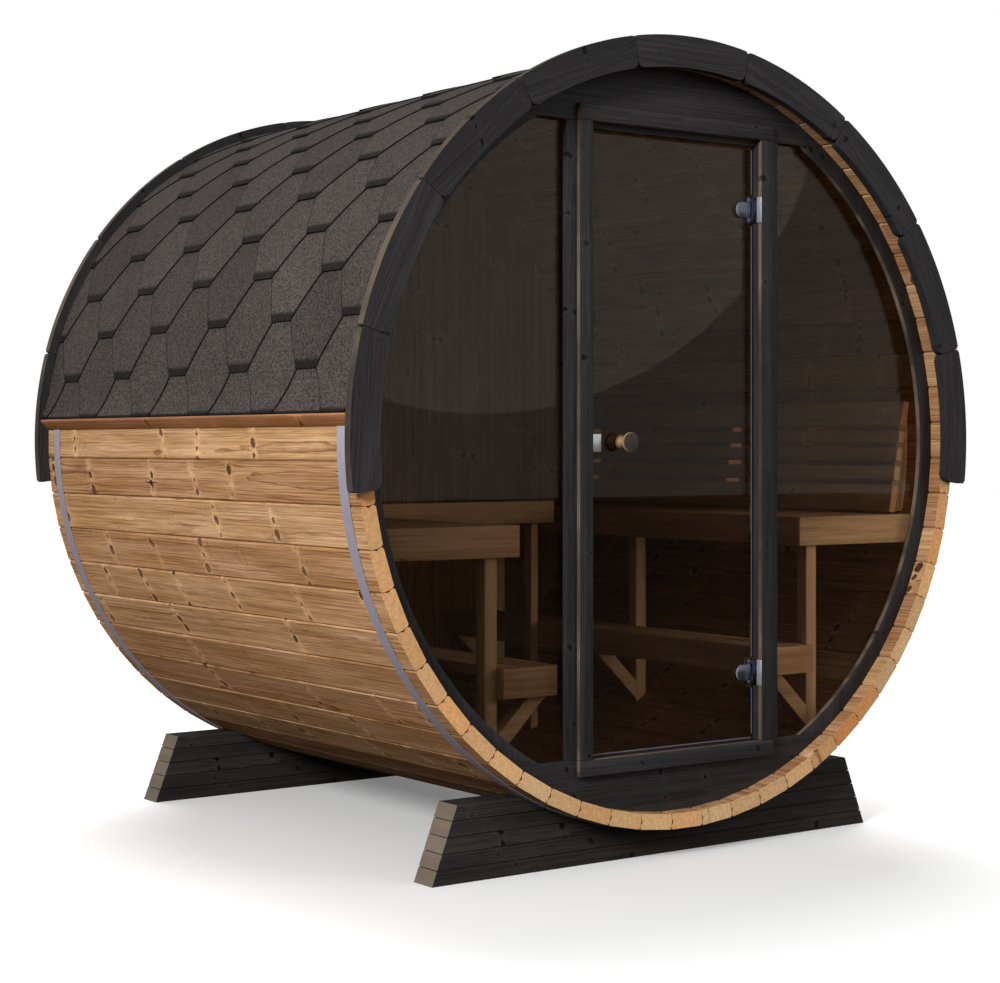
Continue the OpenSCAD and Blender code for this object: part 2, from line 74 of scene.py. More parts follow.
NODES = frame["nodes"]


def low(node):
    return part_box(node)[0]


def high(node):
    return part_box(node)[1]


FLAT_R = high("staves_right_low").x
AXIS_Z = high("staves_top").z - FLAT_R
FRONT_Y = low("staves_top").y
REAR_Y = high("staves_top").y
TRIM_R = high("roof_trim_front").x
EAVE_X = high("eave_batten_right").x
EAVE_Z = high("eave_batten_right").z - AXIS_Z

STAVE_NODES = ("staves_floor", "staves_right_low", "staves_right_high", "staves_top",
               "staves_left_high", "staves_left_low")


# ---------------------------------------------------------------- sizes and colours

def length(name, description, default, largest=0.5):
    return FloatProperty(name=name, description=description, default=default, min=0.0,
                         max=largest, unit="LENGTH", precision=4)


def angle(name, description, degrees):
    return FloatProperty(name=name, description=description, default=math.radians(degrees),
                         subtype="ANGLE", unit="ROTATION")


def colour(name, description, default):
    return FloatVectorProperty(name=name, description=description, default=default,
                               subtype="COLOR", size=3, min=0.0, max=1.0)


def share(name, description, default):
    return FloatProperty(name=name, description=description, default=default, min=0.0,
                         max=1.0, subtype="FACTOR")


def power(name, description, default):
    return FloatProperty(name=name, description=description, default=default, min=0.0, unit="POWER")


class BarrelLooks(bpy.types.PropertyGroup):
    stave_count: IntProperty(name="Staves", description="Staves round the barrel",
                             default=60, min=24, max=90)
    stave_thick: length("Stave thickness", "Radial thickness of a stave", 0.042)
    stave_gap: length("Joint", "Open joint between two staves", 0.0014)
    stave_chamfer: length("Chamfer", "Chamfer along the edges of a stave", 0.0042)
    bead: length("Bead", "Radius of the bead that fits the next stave's cove", 0.0078)
    pale: colour("Pale wood", "Early wood of the heat treated boards", (0.665, 0.396, 0.190))
    deep: colour("Deep wood", "Late wood of the heat treated boards", (0.205, 0.090, 0.036))
    end: colour("End grain", "Sawn ends of the staves", (0.92, 0.575, 0.285))


class RoofLooks(bpy.types.PropertyGroup):
    tab_low: length("Tab end", "Width of a shingle tab at its lower end", 0.0936)
    tab_pitch: length("Tab pitch", "Distance between tabs in one row", 0.3427)
    row_angle: angle("Row angle", "Angle between two rows of tabs", 7.05)
    first_row: angle("First row", "Angle of the lowest whole row above the level line", 9.7)
    sheet: length("Sheet", "Thickness of one shingle", 0.0034)
    granule: colour("Granules", "Mean colour of the mineral granules", (0.0525, 0.0440, 0.0395))
    trim_count: IntProperty(name="Trim pieces", description="Curved pieces in a trim",
                            default=9, min=5, max=13)
    trim_width: length("Trim width", "Radial width of the arched trims", 0.084)
    trim_drop: angle("Trim drop", "Angle of the trim ends below the level line", 7.0)


class FrontLooks(bpy.types.PropertyGroup):
    edge: length("Edge radius", "Rounding of the planed edges", 0.0022)
    stain: colour("Stain", "Dark stain on the faces", (0.0190, 0.0180, 0.0185))
    stain_pale: colour("Worn stain", "Stain where the early wood takes less", (0.0370, 0.0345, 0.0350))
    bare: colour("Bare wood", "Edges that were cut after staining", (0.205, 0.148, 0.092))
    glass_tint: colour("Glass tint", "Tint of the glass", (0.40, 0.34, 0.26))


class InteriorLooks(bpy.types.PropertyGroup):
    pale: colour("Pale bench wood", "Early wood of the benches", (0.55, 0.37, 0.22))
    deep: colour("Deep bench wood", "Late wood of the benches", (0.36, 0.215, 0.115))
    edge: length("Edge radius", "Rounding of the bench edges", 0.003)


class FittingLooks(bpy.types.PropertyGroup):
    steel: colour("Steel", "Polished steel of the hinges", (0.86, 0.88, 0.92))
    # grey steel tinted blue-violet: the tint is a painted reflection of the sky
    band: colour("Hoop steel", "Rolled steel of the hoops", (0.56, 0.52, 0.62))
    knob: colour("Knob wood", "Turned side of the door knob", (0.34, 0.215, 0.095))
    knob_face: colour("Knob face", "Weathered end grain of the door knob", (0.058, 0.054, 0.051))


class StageLooks(bpy.types.PropertyGroup):
    key: power("Key lamp", "Power of the key lamp", 700.0)
    fill: power("Fill lamp", "Power of the fill lamp", 100.0)
    ambient: share("Ambient", "Light from all round", 0.36)
    mirrored: share("Mirrored", "Brightness of the studio in metal and glass", 0.55)
    floor: FloatProperty(name="Floor light", description="Strength of the light on the floor alone",
                         default=2.95, min=0.0)
    benches: power("Bench light", "Power of the light on the benches alone", 22.0)


PROPERTY_GROUPS = (
    ("sauna_barrel", BarrelLooks),
    ("sauna_roof", RoofLooks),
    ("sauna_front", FrontLooks),
    ("sauna_interior", InteriorLooks),
    ("sauna_fittings", FittingLooks),
    ("sauna_stage", StageLooks),
)


# ---------------------------------------------------------------- node tree helpers

def operation(name, swapped=False):
    """A method that adds one Math node."""
    def method(self, other=0.0):
        return maths(name, other, self) if swapped else maths(name, self, other)
    return method


class Field:
    """The value of a node's socket, so that sums in a node tree are written as sums."""

    def __init__(self, socket):
        self.socket = socket
        self.tree = socket.id_data

    __add__, __radd__ = operation("ADD"), operation("ADD", True)
    __sub__, __rsub__ = operation("SUBTRACT"), operation("SUBTRACT", True)
    __mul__, __rmul__ = operation("MULTIPLY"), operation("MULTIPLY", True)
    __truediv__, __rtruediv__ = operation("DIVIDE"), operation("DIVIDE", True)
    __pow__, __mod__ = operation("POWER"), operation("MODULO")
    __abs__, floor, fract = operation("ABSOLUTE"), operation("FLOOR"), operation("FRACT")
    sqrt, sine, or_more = operation("SQRT"), operation("SINE"), operation("MAXIMUM")

    def clamped(self):
        """The same sum, kept between 0 and 1."""
        self.socket.node.use_clamp = True
        return self

    def ramp(self, a, b, x=0.0, y=1.0, kind="SMOOTHSTEP"):
        """The value mapped from the range a to b onto x to y."""
        node = add(self.tree, "ShaderNodeMapRange",
                   {"Value": self, "From Min": a, "From Max": b, "To Min": x, "To Max": y},
                   interpolation_type=kind)
        return Field(node.outputs["Result"])

    def line(self, a, b, x=0.0, y=1.0):
        """The same without easing at the ends."""
        return self.ramp(a, b, x, y, "LINEAR")

    def noise(self, scale=1.0, detail=2.0, rough=0.5):
        node = add(self.tree, "ShaderNodeTexNoise",
                   {"Vector": self, "Scale": scale, "Detail": detail, "Roughness": rough},
                   noise_dimensions="3D")
        return Field(node.outputs["Fac"])

    def split(self, kind="XYZ"):
        """The three parts of a vector, or of a colour."""
        return [Field(s) for s in add(self.tree, "ShaderNodeSeparate" + kind, {0: self}).outputs]


def feed(socket, value):
    """Links a socket to a field or to another socket, or sets its plain value."""
    value = getattr(value, "socket", value)
    if isinstance(value, bpy.types.NodeSocket):
        socket.id_data.links.new(value, socket)
    else:
        socket.default_value = value


def feed_all(sockets, values):
    for key, value in values.items():
        feed(sockets[key], value)


def add(tree, kind, inputs=None, **settings):
    """A new node with its settings and inputs."""
    node = tree.nodes.new(kind)
    for key, value in settings.items():
        setattr(node, key, value)
    feed_all(node.inputs, inputs or {})
    return node


def tree_of(*values):
    """The tree that the first field among some values belongs to."""
    return next(value.tree for value in values if isinstance(value, Field))


def maths(name, *values):
    node = add(tree_of(*values), "ShaderNodeMath", dict(enumerate(values)), operation=name)
    return Field(node.outputs[0])


def xyz(*parts):
    return Field(add(tree_of(*parts), "ShaderNodeCombineXYZ", dict(enumerate(parts))).outputs[0])


def paint(factor, a, b, mode="MIX"):
    """Colour a blended with colour b by factor."""
    node = add(tree_of(factor, a, b), "ShaderNodeMix", data_type="RGBA", blend_type=mode)
    for place, value in ((0, factor), (6, a), (7, b)):
        if hasattr(value, "__len__"):
            value = (*value, 1.0)
        feed(node.inputs[place], value)
    return Field(node.outputs[2])


def shaded(tone, value):
    """A colour made darker or paler by a field."""
    return paint(1.0, tone, xyz(value, value, value), "MULTIPLY")


def times(tone, amount):
    return [part * amount for part in tone]


def new_group(name, kind, inputs, outputs):
    """A node group with named sockets: its tree, its inputs as fields and its results."""
    tree = bpy.data.node_groups.new(name, kind)
    for label, socket, default in inputs:
        item = tree.interface.new_socket(label, in_out="INPUT", socket_type=socket)
        if default is not None:
            item.default_value = default
    for label, socket in outputs:
        tree.interface.new_socket(label, in_out="OUTPUT", socket_type=socket)
    given = {s.name: Field(s) for s in tree.nodes.new("NodeGroupInput").outputs if s.name}
    return tree, given, tree.nodes.new("NodeGroupOutput").inputs


def built_once(build):
    """The node group that a function builds, under the function's own name."""
    return bpy.data.node_groups.get(build.__name__) or build(build.__name__)


def use(tree, build, **inputs):
    """Places a shared group in a material, with its own values."""
    node = add(tree, "ShaderNodeGroup", node_tree=built_once(build))
    for label, value in inputs.items():
        feed(node.inputs[label.replace("_", " ").capitalize()], value)
    return [Field(s) for s in node.outputs]


def attribute(tree, name, output="Fac"):
    node = add(tree, "ShaderNodeAttribute", attribute_name=name, attribute_type="GEOMETRY")
    return Field(node.outputs[output])


def object_place(tree):
    return Field(add(tree, "ShaderNodeTexCoord").outputs["Object"])


def new_material(name):
    material = bpy.data.materials.get(name) or bpy.data.materials.new(name)
    material.use_nodes = True
    tree = material.node_tree
    tree.nodes.clear()
    shader = add(tree, "ShaderNodeBsdfPrincipled")
    feed(add(tree, "ShaderNodeOutputMaterial").inputs[0], shader.outputs[0])
    return material, tree, shader.inputs


def bumped(tree, shader, height, distance, strength=1.0):
    bump = add(tree, "ShaderNodeBump", {"Height": height, "Distance": distance, "Strength": strength})
    feed(shader["Normal"], bump.outputs[0])


# ---------------------------------------------------------------- wood, granules and steel

CRACK_SHADE = (0.014, 0.009, 0.007)
JOINT_SHADE = (0.008, 0.007, 0.007)
BITUMEN = (0.010, 0.009, 0.009)


def chance(*place):
    """Three random numbers for a place."""
    dice = add(tree_of(*place), "ShaderNodeTexWhiteNoise", {"Vector": xyz(*place)}, noise_dimensions="3D")
    return Field(dice.outputs["Color"]).split("Color")


def reach_of(a, b):
    """Length of the vector whose sides are a and b."""
    return (a * a + b * b).sqrt()


def timber(name):
    """Growth rings, fibres and whorls of knots in one board, in the board's own metres."""
    tree, given, result = new_group(
        name, "ShaderNodeTree",
        [("Grain", "NodeSocketVector", None), ("Board", "NodeSocketFloat", 0.0),
         ("Ring width", "NodeSocketFloat", 0.004), ("Knot spacing", "NodeSocketFloat", 0.4),
         ("Knot size", "NodeSocketFloat", 0.018)],
        [(label, "NodeSocketFloat") for label in (
            "Rings", "Fibre", "Knot", "Halo", "Blotch", "Height", "Crack", "Heart")])
    grain, spacing = given["Grain"], given["Knot spacing"]
    x, y, z = grain.split()
    seed = given["Board"] * 61.7
    roll_a, roll_b, roll_c = chance(seed, 0.0, 0.0)

    # a whorl of branches crosses the board once in each cell
    walk = x / spacing + seed
    cell = walk.floor()
    toss_a, toss_b, toss_c = chance(cell, seed, 0.0)
    stray = walk.fract() - (toss_a * 0.56 + 0.22)
    bend = xyz(y * 28.0, cell, seed).noise(1.0, 1.0)
    lean = toss_b * 0.45 + 0.05
    dx = lean * y + (bend * 0.016 + stray * spacing)
    whorl = toss_c.ramp(0.26, 0.28)

    # knots stand one above another along the whorl
    rung = 0.036
    climb = toss_a * 7.0 + y / rung
    luck_a, luck_b, luck_c = chance(cell + seed, climb.floor(), 3.0)
    dy = (climb.fract() - (luck_a * 0.3 + 0.35)) * rung
    size = given["Knot size"] * (luck_b * 0.75 + 0.25)
    there = whorl * luck_c.ramp(0.28, 0.32)
    ragged = grain.noise(190.0, 2.0) * 0.9 - 0.45
    reach = ragged + reach_of(dx / (size * 0.80), dy / size)
    knot = reach.ramp(1.20, 0.80) * there
    heart = reach.ramp(0.80, 0.35) * there

    # pale feathered wood lies beside the whorl
    side = abs(dx)
    feather = ((side * 1.3 + y) * 1500.0).sine()
    halo = side.ramp(0.030, 0.004) * (feather * 0.30 + 0.70)
    halo = halo * (whorl * grain.noise(55.0, 1.0).ramp(0.34, 0.58))

    # fibres run round each knot
    r2 = dy * dy + dx * dx * 0.45
    s2 = size * size * 1.1
    turn = s2 / (r2 + s2) * there
    across = halo * 0.006 + (y - dy * turn)

    # here and there a dead knot has split along the grain
    stretch_x, stretch_y = 1.1, 4.0
    u, v = x * stretch_x + seed, y * stretch_y + seed
    dead = add(tree, "ShaderNodeTexVoronoi", {"Vector": xyz(u, v, 0.0), "Scale": 1.0, "Randomness": 0.9},
               voronoi_dimensions="2D", feature="F1").outputs
    px, py, _ = Field(dead["Position"]).split()
    bx, by = (u - px) / stretch_x, (v - py) / stretch_y
    odds = Field(dead["Color"]).split("Color")[0]
    eye = (ragged * 0.002 + reach_of(bx, by)).ramp(0.0095, 0.0065)
    gash = abs(bx) / 0.055 + abs(by) / 0.0036
    crack = eye.or_more(gash.ramp(1.0, 0.5)) * odds.ramp(0.62, 0.64)

    # rings are cylinders round the pith, which lies beyond the board
    sway = xyz(x * 1.1, seed, 0.0).noise(1.0, 1.0)
    pith = (roll_a - 0.5) * 0.09 + x * ((roll_c - 0.5) * 0.05)
    radius = sway * 0.014 + reach_of(across - pith, z + (roll_b * 0.07 + 0.025))
    waver = xyz(x * 9.0, across * 50.0, z * 50.0).noise(1.0, 2.0)
    phase = waver * 0.9 + radius / given["Ring width"]
    part = phase.fract()
    late = part ** 5.0 * part.ramp(1.0, 0.92)
    dice = add(tree, "ShaderNodeTexWhiteNoise", {"W": phase.floor() + seed}, noise_dimensions="1D")
    rings = late * (Field(dice.outputs["Value"]) * 1.2 + 0.40)

    # fibres and broad blotches
    fine = xyz(x * 9.0 + seed, across * 680.0, z * 680.0).noise(1.0, 3.0, 0.6)
    broad = xyz(x * 1.6 + seed, across * 250.0, z * 250.0).noise(1.0, 2.0)
    fibre = fine * 0.55 + broad * 0.45
    blotch = xyz(x * 2.3 + seed, y * 22.0, seed).noise(1.0, 3.0)

    height = rings * 0.55 + fibre * 0.45 - (knot * 0.6).or_more(crack)
    for socket, value in zip(result, (rings, fibre, knot, halo, blotch, height, crack, heart)):
        feed(socket, value)
    return tree


def wood(name, pale, deep, end=None, ring=0.0042, spacing=0.42, knot=0.018, rough=0.62,
         tone=0.22, stain=None, knot_tone=(0.052, 0.021, 0.009), bump=0.0005, gloss=0.2, vary=1.0):
    """A wood finish that reads the board's own grain, with a stain over it if one is given."""
    material, tree, shader = new_material(name)
    grain = attribute(tree, "grain", "Vector")
    board = attribute(tree, "board")
    ends = attribute(tree, "end")
    rings, fibre, knots, halo, blotch, height, cracks, hearts = use(
        tree, timber, grain=grain, board=board, ring_width=ring, knot_spacing=spacing, knot_size=knot)
    streak = fibre.ramp(0.37, 0.63)
    mask = (rings * 0.62 + streak * 0.66).clamped()
    light = [min(1.0, part * gain) for part, gain in zip(pale, (1.30, 1.36, 1.46))]
    body = paint(halo * 0.80, paint(mask, pale, deep), light)
    toned = Field(add(tree, "ShaderNodeHueSaturation", {
        "Hue": board.line(0.0, 1.0, 0.488, 0.502),
        "Saturation": blotch.line(0.3, 0.7, 1.10, 0.94)
                      * board.line(0.0, 1.0, 1.0 + tone * 0.15, 1.0 - tone * 0.15),
        "Value": board.line(0.0, 1.0, 1.0 - tone, 1.0 + tone * 0.6) * blotch.line(0.28, 0.72, 0.76, 1.16),
        "Color": body}).outputs[0])
    if end is not None:
        sawn = paint((rings * 0.85).clamped(), end, times(end, 0.42))
        sawn = paint(streak * 0.30, sawn, times(end, 0.6))
        flip = (board * 7.3).fract().line(0.0, 1.0, 0.84, 1.08)
        flip = flip * grain.noise(120.0, 2.0).line(0.3, 0.7, 0.86, 1.12)
        warm = (board * 13.7).fract().line(0.0, 1.0, 1.10, 0.46)
        sawn = paint(vary, sawn, xyz(flip, flip * warm.sqrt(), flip * warm), "MULTIPLY")
        toned = paint(ends, toned, sawn)
        knots = knots * (ends * -0.7 + 1.0)
    toned = paint(knots, toned, knot_tone)
    toned = paint(hearts * 0.75, toned, times(knot_tone, 2.2))
    toned = paint(cracks, toned, CRACK_SHADE)
    if stain is not None:
        dark, worn = stain
        cover = paint(mask.ramp(0.0, 0.8), worn, dark)
        cover = paint(halo * 0.35, cover, times(worn, 1.35))
        cover = shaded(cover, blotch.line(0.25, 0.75, 0.80, 1.22) * board.line(0.0, 1.0, 0.86, 1.14))
        cover = paint(knots, cover, times(dark, 0.22))
        worn_off = attribute(tree, "bare") * blotch.ramp(0.38, 0.58, 1.0 - 0.65 * vary, 1.0)
        toned = paint(worn_off, cover, toned)
    feed_all(shader, {"Base Color": toned, "Specular IOR Level": gloss,
                      "Roughness": fibre.line(0.2, 0.8, rough - 0.07, rough + 0.08)})
    bumped(tree, shader, height, bump, 0.8)
    return material


def granules(name):
    """Mineral granules pressed into bitumen."""
    tree, given, result = new_group(
        name, "ShaderNodeTree",
        [("Place", "NodeSocketVector", None), ("Size", "NodeSocketFloat", 0.003)],
        [("Speckle", "NodeSocketFloat"), ("Height", "NodeSocketFloat")])
    place, scale = given["Place"], 1.0 / given["Size"]
    coarse = add(tree, "ShaderNodeTexVoronoi", {"Vector": place, "Scale": scale},
                 voronoi_dimensions="3D", feature="F1").outputs
    tint = Field(coarse["Color"]).split("Color")[0]
    feed(result["Speckle"], tint * 0.6 + place.noise(scale * 0.45, 3.0, 0.7) * 0.4)
    feed(result["Height"], 1.0 - Field(coarse["Distance"]))
    return tree


def shingle_material(looks):
    material, tree, shader = new_material("mineral_shingle")
    place = object_place(tree)
    speckle, height = use(tree, granules, place=place, size=0.0030)
    aside, up, _ = attribute(tree, "grain", "Vector").split()
    board, edge = attribute(tree, "board"), attribute(tree, "edge")
    mean = looks.granule
    tone = paint(speckle.line(0.2, 0.8), times(mean, 0.36), times(mean, 1.95))
    tone = shaded(tone, board.line(0.0, 1.0, 0.86, 1.16) * place.noise(3.0, 2.0).line(0.3, 0.7, 0.92, 1.08))
    ragged = place.noise(160.0, 2.0) * 0.010 - 0.005
    band = (up + ragged).ramp(0.028, 0.016) * (edge * -1.0 + 1.0)
    tone = paint(band * 0.88, tone, times(mean, 0.12))
    # the sides of a tab lean outwards from its lower end
    low_half, row = looks.tab_low / 2, row_height(looks)
    spread = (looks.tab_pitch / 2 - 2 * low_half) / row
    beyond = abs(aside) - (up * spread + low_half)
    rim = beyond.ramp(-0.0050, -0.0022) * up.ramp(row + 0.001, row - 0.001)
    tone = paint(rim * 0.85, tone, JOINT_SHADE)
    tone = paint(edge, tone, BITUMEN)
    feed_all(shader, {"Base Color": tone, "Specular IOR Level": 0.3,
                      "Roughness": speckle.line(0.0, 1.0, 0.95, 0.82)})
    bumped(tree, shader, height, 0.0012, 0.7)
    return material


def brushed(name):
    """Fine lines left by rolling or brushing, running along one axis."""
    tree, given, result = new_group(
        name, "ShaderNodeTree",
        [("Place", "NodeSocketVector", None), ("Stretch", "NodeSocketVector", (40.0, 900.0, 900.0))],
        [("Lines", "NodeSocketFloat"), ("Smudge", "NodeSocketFloat")])
    scaled = add(tree, "ShaderNodeVectorMath", {0: given["Place"], 1: given["Stretch"]}, operation="MULTIPLY")
    feed(result["Lines"], Field(scaled.outputs[0]).noise(1.0, 2.0))
    feed(result["Smudge"], given["Place"].noise(14.0, 3.0))
    return tree


def steel(name, base, rough, stretch, darker=0.7, metal=1.0):
    material, tree, shader = new_material(name)
    lines, smudge = use(tree, brushed, place=object_place(tree), stretch=stretch)
    tone = paint(lines * 0.35, base, times(base, darker))
    feed_all(shader, {
        "Base Color": paint(smudge.ramp(0.45, 0.75, 0.0, 0.35), tone, times(base, darker)),
        "Metallic": metal, "Roughness": smudge.line(0.2, 0.8, rough * 0.75, rough * 1.4)})
    bumped(tree, shader, lines, 0.0001, 0.4)
    return material


def glass_material(name, tint):
    material, tree, shader = new_material(name)
    film = object_place(tree).noise(2.2, 3.0).ramp(0.3, 0.7)
    passed = Field(add(tree, "ShaderNodeLightPath").outputs["Is Diffuse Ray"])
    feed_all(shader, {
        "Base Color": paint(film, tint, times(tint, 0.93)), "Transmission Weight": 1.0,
        "Roughness": 0.0, "IOR": 1.25, "Specular IOR Level": 0.15, "Alpha": 1.0 - passed})
    return material


# ---------------------------------------------------------------- mesh helpers

SMOOTH_BELOW = math.radians(35)


def smooth_faces(mesh):
    """Smooth faces, with sharp edges where they meet at more than the limit."""
    for polygon in mesh.polygons:
        polygon.use_smooth = True
    mesh.set_sharp_from_angle(angle=SMOOTH_BELOW)


def mesh_from(bm, name):
    mesh = bpy.data.meshes.new(name)
    bm.to_mesh(mesh)
    bm.free()
    return mesh


@contextmanager
def editing(mesh):
    """A mesh opened for editing, and written back at the end."""
    bm = bmesh.new()
    bm.from_mesh(mesh)
    yield bm
    bm.to_mesh(mesh)
    bm.free()


def new_object(name, mesh):
    obj = bpy.data.objects.new(name, mesh)
    bpy.context.scene.collection.objects.link(obj)
    return obj


def bevel(bm, edges, width, segments=2):
    bmesh.ops.bevel(bm, geom=list(edges), offset=width, segments=segments, profile=0.5, affect="EDGES",
                    clamp_overlap=True)


def cut(bm, place, normal, clear=False):
    """Cuts a mesh along a plane, and can clear what lies beyond it."""
    bmesh.ops.bisect_plane(bm, geom=bm.verts[:] + bm.edges[:] + bm.faces[:], plane_co=place,
                           plane_no=normal, clear_outer=clear)


def close_holes(bm):
    bmesh.ops.holes_fill(bm, edges=[e for e in bm.edges if e.is_boundary], sides=0)


def prism(bm, outline, y0, y1, edge=0.0):
    """An outline in the plane across the barrel, carried from y0 to y1 with softened rims."""
    front = [bm.verts.new((x, y0, z)) for x, z in outline]
    back = [bm.verts.new((x, y1, z)) for x, z in outline]
    count = len(outline)
    area = sum(outline[i][0] * outline[(i + 1) % count][1] - outline[(i + 1) % count][0] * outline[i][1]
               for i in range(count))
    order = range(count) if area > 0 else range(count - 1, -1, -1)
    front = [front[i] for i in order]
    back = [back[i] for i in order]
    caps = [bm.faces.new(front), bm.faces.new(list(reversed(back)))]
    for i in range(count):
        j = (i + 1) % count
        bm.faces.new((front[j], front[i], back[i], back[j]))
    if edge:
        bevel(bm, {e for cap in caps for e in cap.edges}, edge, 1)


def islands(mesh):
    """Lists of vertex numbers, one for each separate solid."""
    parent = list(range(len(mesh.vertices)))

    def root(i):
        while parent[i] != i:
            parent[i] = parent[parent[i]]
            i = parent[i]
        return i

    for e in mesh.edges:
        a, b = root(e.vertices[0]), root(e.vertices[1])
        if a != b:
            parent[a] = b
    found = {}
    for i in range(len(mesh.vertices)):
        found.setdefault(root(i), []).append(i)
    return list(found.values())


def with_layers(mesh, *wanted):
    """Adds attributes to a mesh, and returns them once all are there."""
    for name, kind, domain in wanted:
        mesh.attributes.new(name, kind, domain)
    return [mesh.attributes[name] for name, _, _ in wanted]


def mark_boards(mesh, seed=1, along=None, bare=None, wide=None):
    """Gives each solid of a mesh its grain direction, a number of its own, its ends and bare faces."""
    dice = random.Random(seed)
    grain, board, ends, naked = with_layers(
        mesh, ("grain", "FLOAT_VECTOR", "POINT"), ("board", "FLOAT", "POINT"),
        ("end", "FLOAT", "CORNER"), ("bare", "FLOAT", "CORNER"))
    axis_of = {}
    for solid in islands(mesh):
        places = [mesh.vertices[i].co for i in solid]
        lows = [min(p[k] for p in places) for k in range(3)]
        highs = [max(p[k] for p in places) for k in range(3)]
        order = sorted(range(3), key=lambda k: lows[k] - highs[k])
        if along is not None:
            order = [along] + [k for k in order if k != along]
        if wide is not None:
            order = [along, wide, 3 - along - wide]
        number = dice.random()
        middle = [(a + b) / 2 for a, b in zip(lows, highs)]
        for i in solid:
            p = mesh.vertices[i].co
            grain.data[i].vector = [p[k] - middle[k] for k in order]
            board.data[i].value = number
            axis_of[i] = order[0]
    for polygon in mesh.polygons:
        axis = axis_of[polygon.vertices[0]]
        sawn = 1.0 if abs(polygon.normal[axis]) > 0.75 else 0.0
        open_face = float(bare(polygon.normal)) if bare else 0.0
        for loop in polygon.loop_indices:
            ends.data[loop].value = sawn
            naked.data[loop].value = open_face


def mark_copied(mesh, along, bare=None):
    """Marks a board before it is copied, when each copy gets a number of its own."""
    mark_boards(mesh, 1, along, bare)
    mesh.attributes.remove(mesh.attributes["board"])


def sharp_edges(bm, limit):
    return [e for e in bm.edges if e.is_manifold and e.calc_face_angle() > limit]


def softened(node, name, edge, segments=2):
    """A merged copy of a frame piece with rounded edges."""
    bm = bmesh.new()
    bm.from_mesh(NODES[node].data)
    bmesh.ops.remove_doubles(bm, verts=bm.verts, dist=0.00001)
    bmesh.ops.dissolve_limit(bm, angle_limit=math.radians(0.4), verts=bm.verts, edges=bm.edges)
    bevel(bm, sharp_edges(bm, math.radians(28)), edge, segments)
    return mesh_from(bm, name)


def finish_piece(obj, body, nodes, material=None):
    """Rides a finished piece on its body, in place of its frame nodes."""
    if material is not None:
        obj.data.materials.clear()
        obj.data.materials.append(material)
    smooth_faces(obj.data)
    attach(obj, body)
    if nodes:
        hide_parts(*nodes)
    return obj


def soft_boards(name, nodes, material, edge, body="barrel", along=None, bare=None, seed=1):
    """One piece for each frame node, softened and marked for its wood finish."""
    for number, node in enumerate(nodes):
        mesh = softened(node, name.format(node), edge)
        mark_boards(mesh, seed + number * 7, along, bare)
        finish_piece(new_object(name.format(node), mesh), body, [node], material)


def dress(node, material):
    """Gives a frame node's own slots a better material."""
    obj = NODES[node]
    if not obj.material_slots:
        obj.data.materials.append(material)
    for slot in obj.material_slots:
        slot.material = material


# ---------------------------------------------------------------- arrays

def geometry_tree(name, inputs):
    return new_group(
        name, "GeometryNodeTree",
        [("Geometry", "NodeSocketGeometry", None)] + inputs + [("Material", "NodeSocketMaterial", None)],
        [("Geometry", "NodeSocketGeometry")])


def points(tree, count, start=(0.0, 0.0, 0.0), step=(0.0, 0.0, 0.0)):
    line = add(tree, "GeometryNodeMeshLine", {"Count": count, "Start Location": start, "Offset": step})
    return line.outputs[0]


def index_in(tree):
    return Field(add(tree, "GeometryNodeInputIndex").outputs[0])


def placed(tree, given, result, spots, rotation=(0.0, 0.0, 0.0)):
    """Instances of the base on the points, each with a number of its own, made real."""
    spread = add(tree, "GeometryNodeInstanceOnPoints",
                 {"Points": spots, "Instance": given["Geometry"], "Rotation": rotation})
    dice = add(tree, "FunctionNodeRandomValue", {"Seed": given["Seed"]}, data_type="FLOAT")
    store = add(tree, "GeometryNodeStoreNamedAttribute",
                {"Geometry": spread.outputs[0], "Name": "board"}, data_type="FLOAT", domain="INSTANCE")
    feed(next(s for s in store.inputs if s.name == "Value" and s.enabled),
         next(s for s in dice.outputs if s.enabled))
    real = add(tree, "GeometryNodeRealizeInstances", {"Geometry": store.outputs[0]})
    dressed = add(tree, "GeometryNodeSetMaterial",
                  {"Geometry": real.outputs[0], "Material": given["Material"]})
    feed(result["Geometry"], dressed.outputs[0])
    return tree


def ring_of_pieces(name):
    """Copies turned round the barrel's axis."""
    tree, given, result = geometry_tree(name, [
        ("Count", "NodeSocketInt", 12), ("Start", "NodeSocketFloat", 0.0),
        ("Pitch", "NodeSocketFloat", 0.1), ("Axis height", "NodeSocketFloat", 1.0),
        ("Seed", "NodeSocketInt", 1)])
    spots = points(tree, given["Count"], xyz(0.0, 0.0, given["Axis height"]))
    turn = (given["Start"] + index_in(tree) * given["Pitch"]) * -1.0
    return placed(tree, given, result, spots, xyz(0.0, turn, 0.0))


def row_of_pieces(name):
    """Copies in a straight row."""
    tree, given, result = geometry_tree(name, [
        ("Count", "NodeSocketInt", 5), ("Start", "NodeSocketVector", (0.0, 0.0, 0.0)),
        ("Step", "NodeSocketVector", (0.1, 0.0, 0.0)), ("Seed", "NodeSocketInt", 1)])
    return placed(tree, given, result, points(tree, given["Count"], given["Start"], given["Step"]))


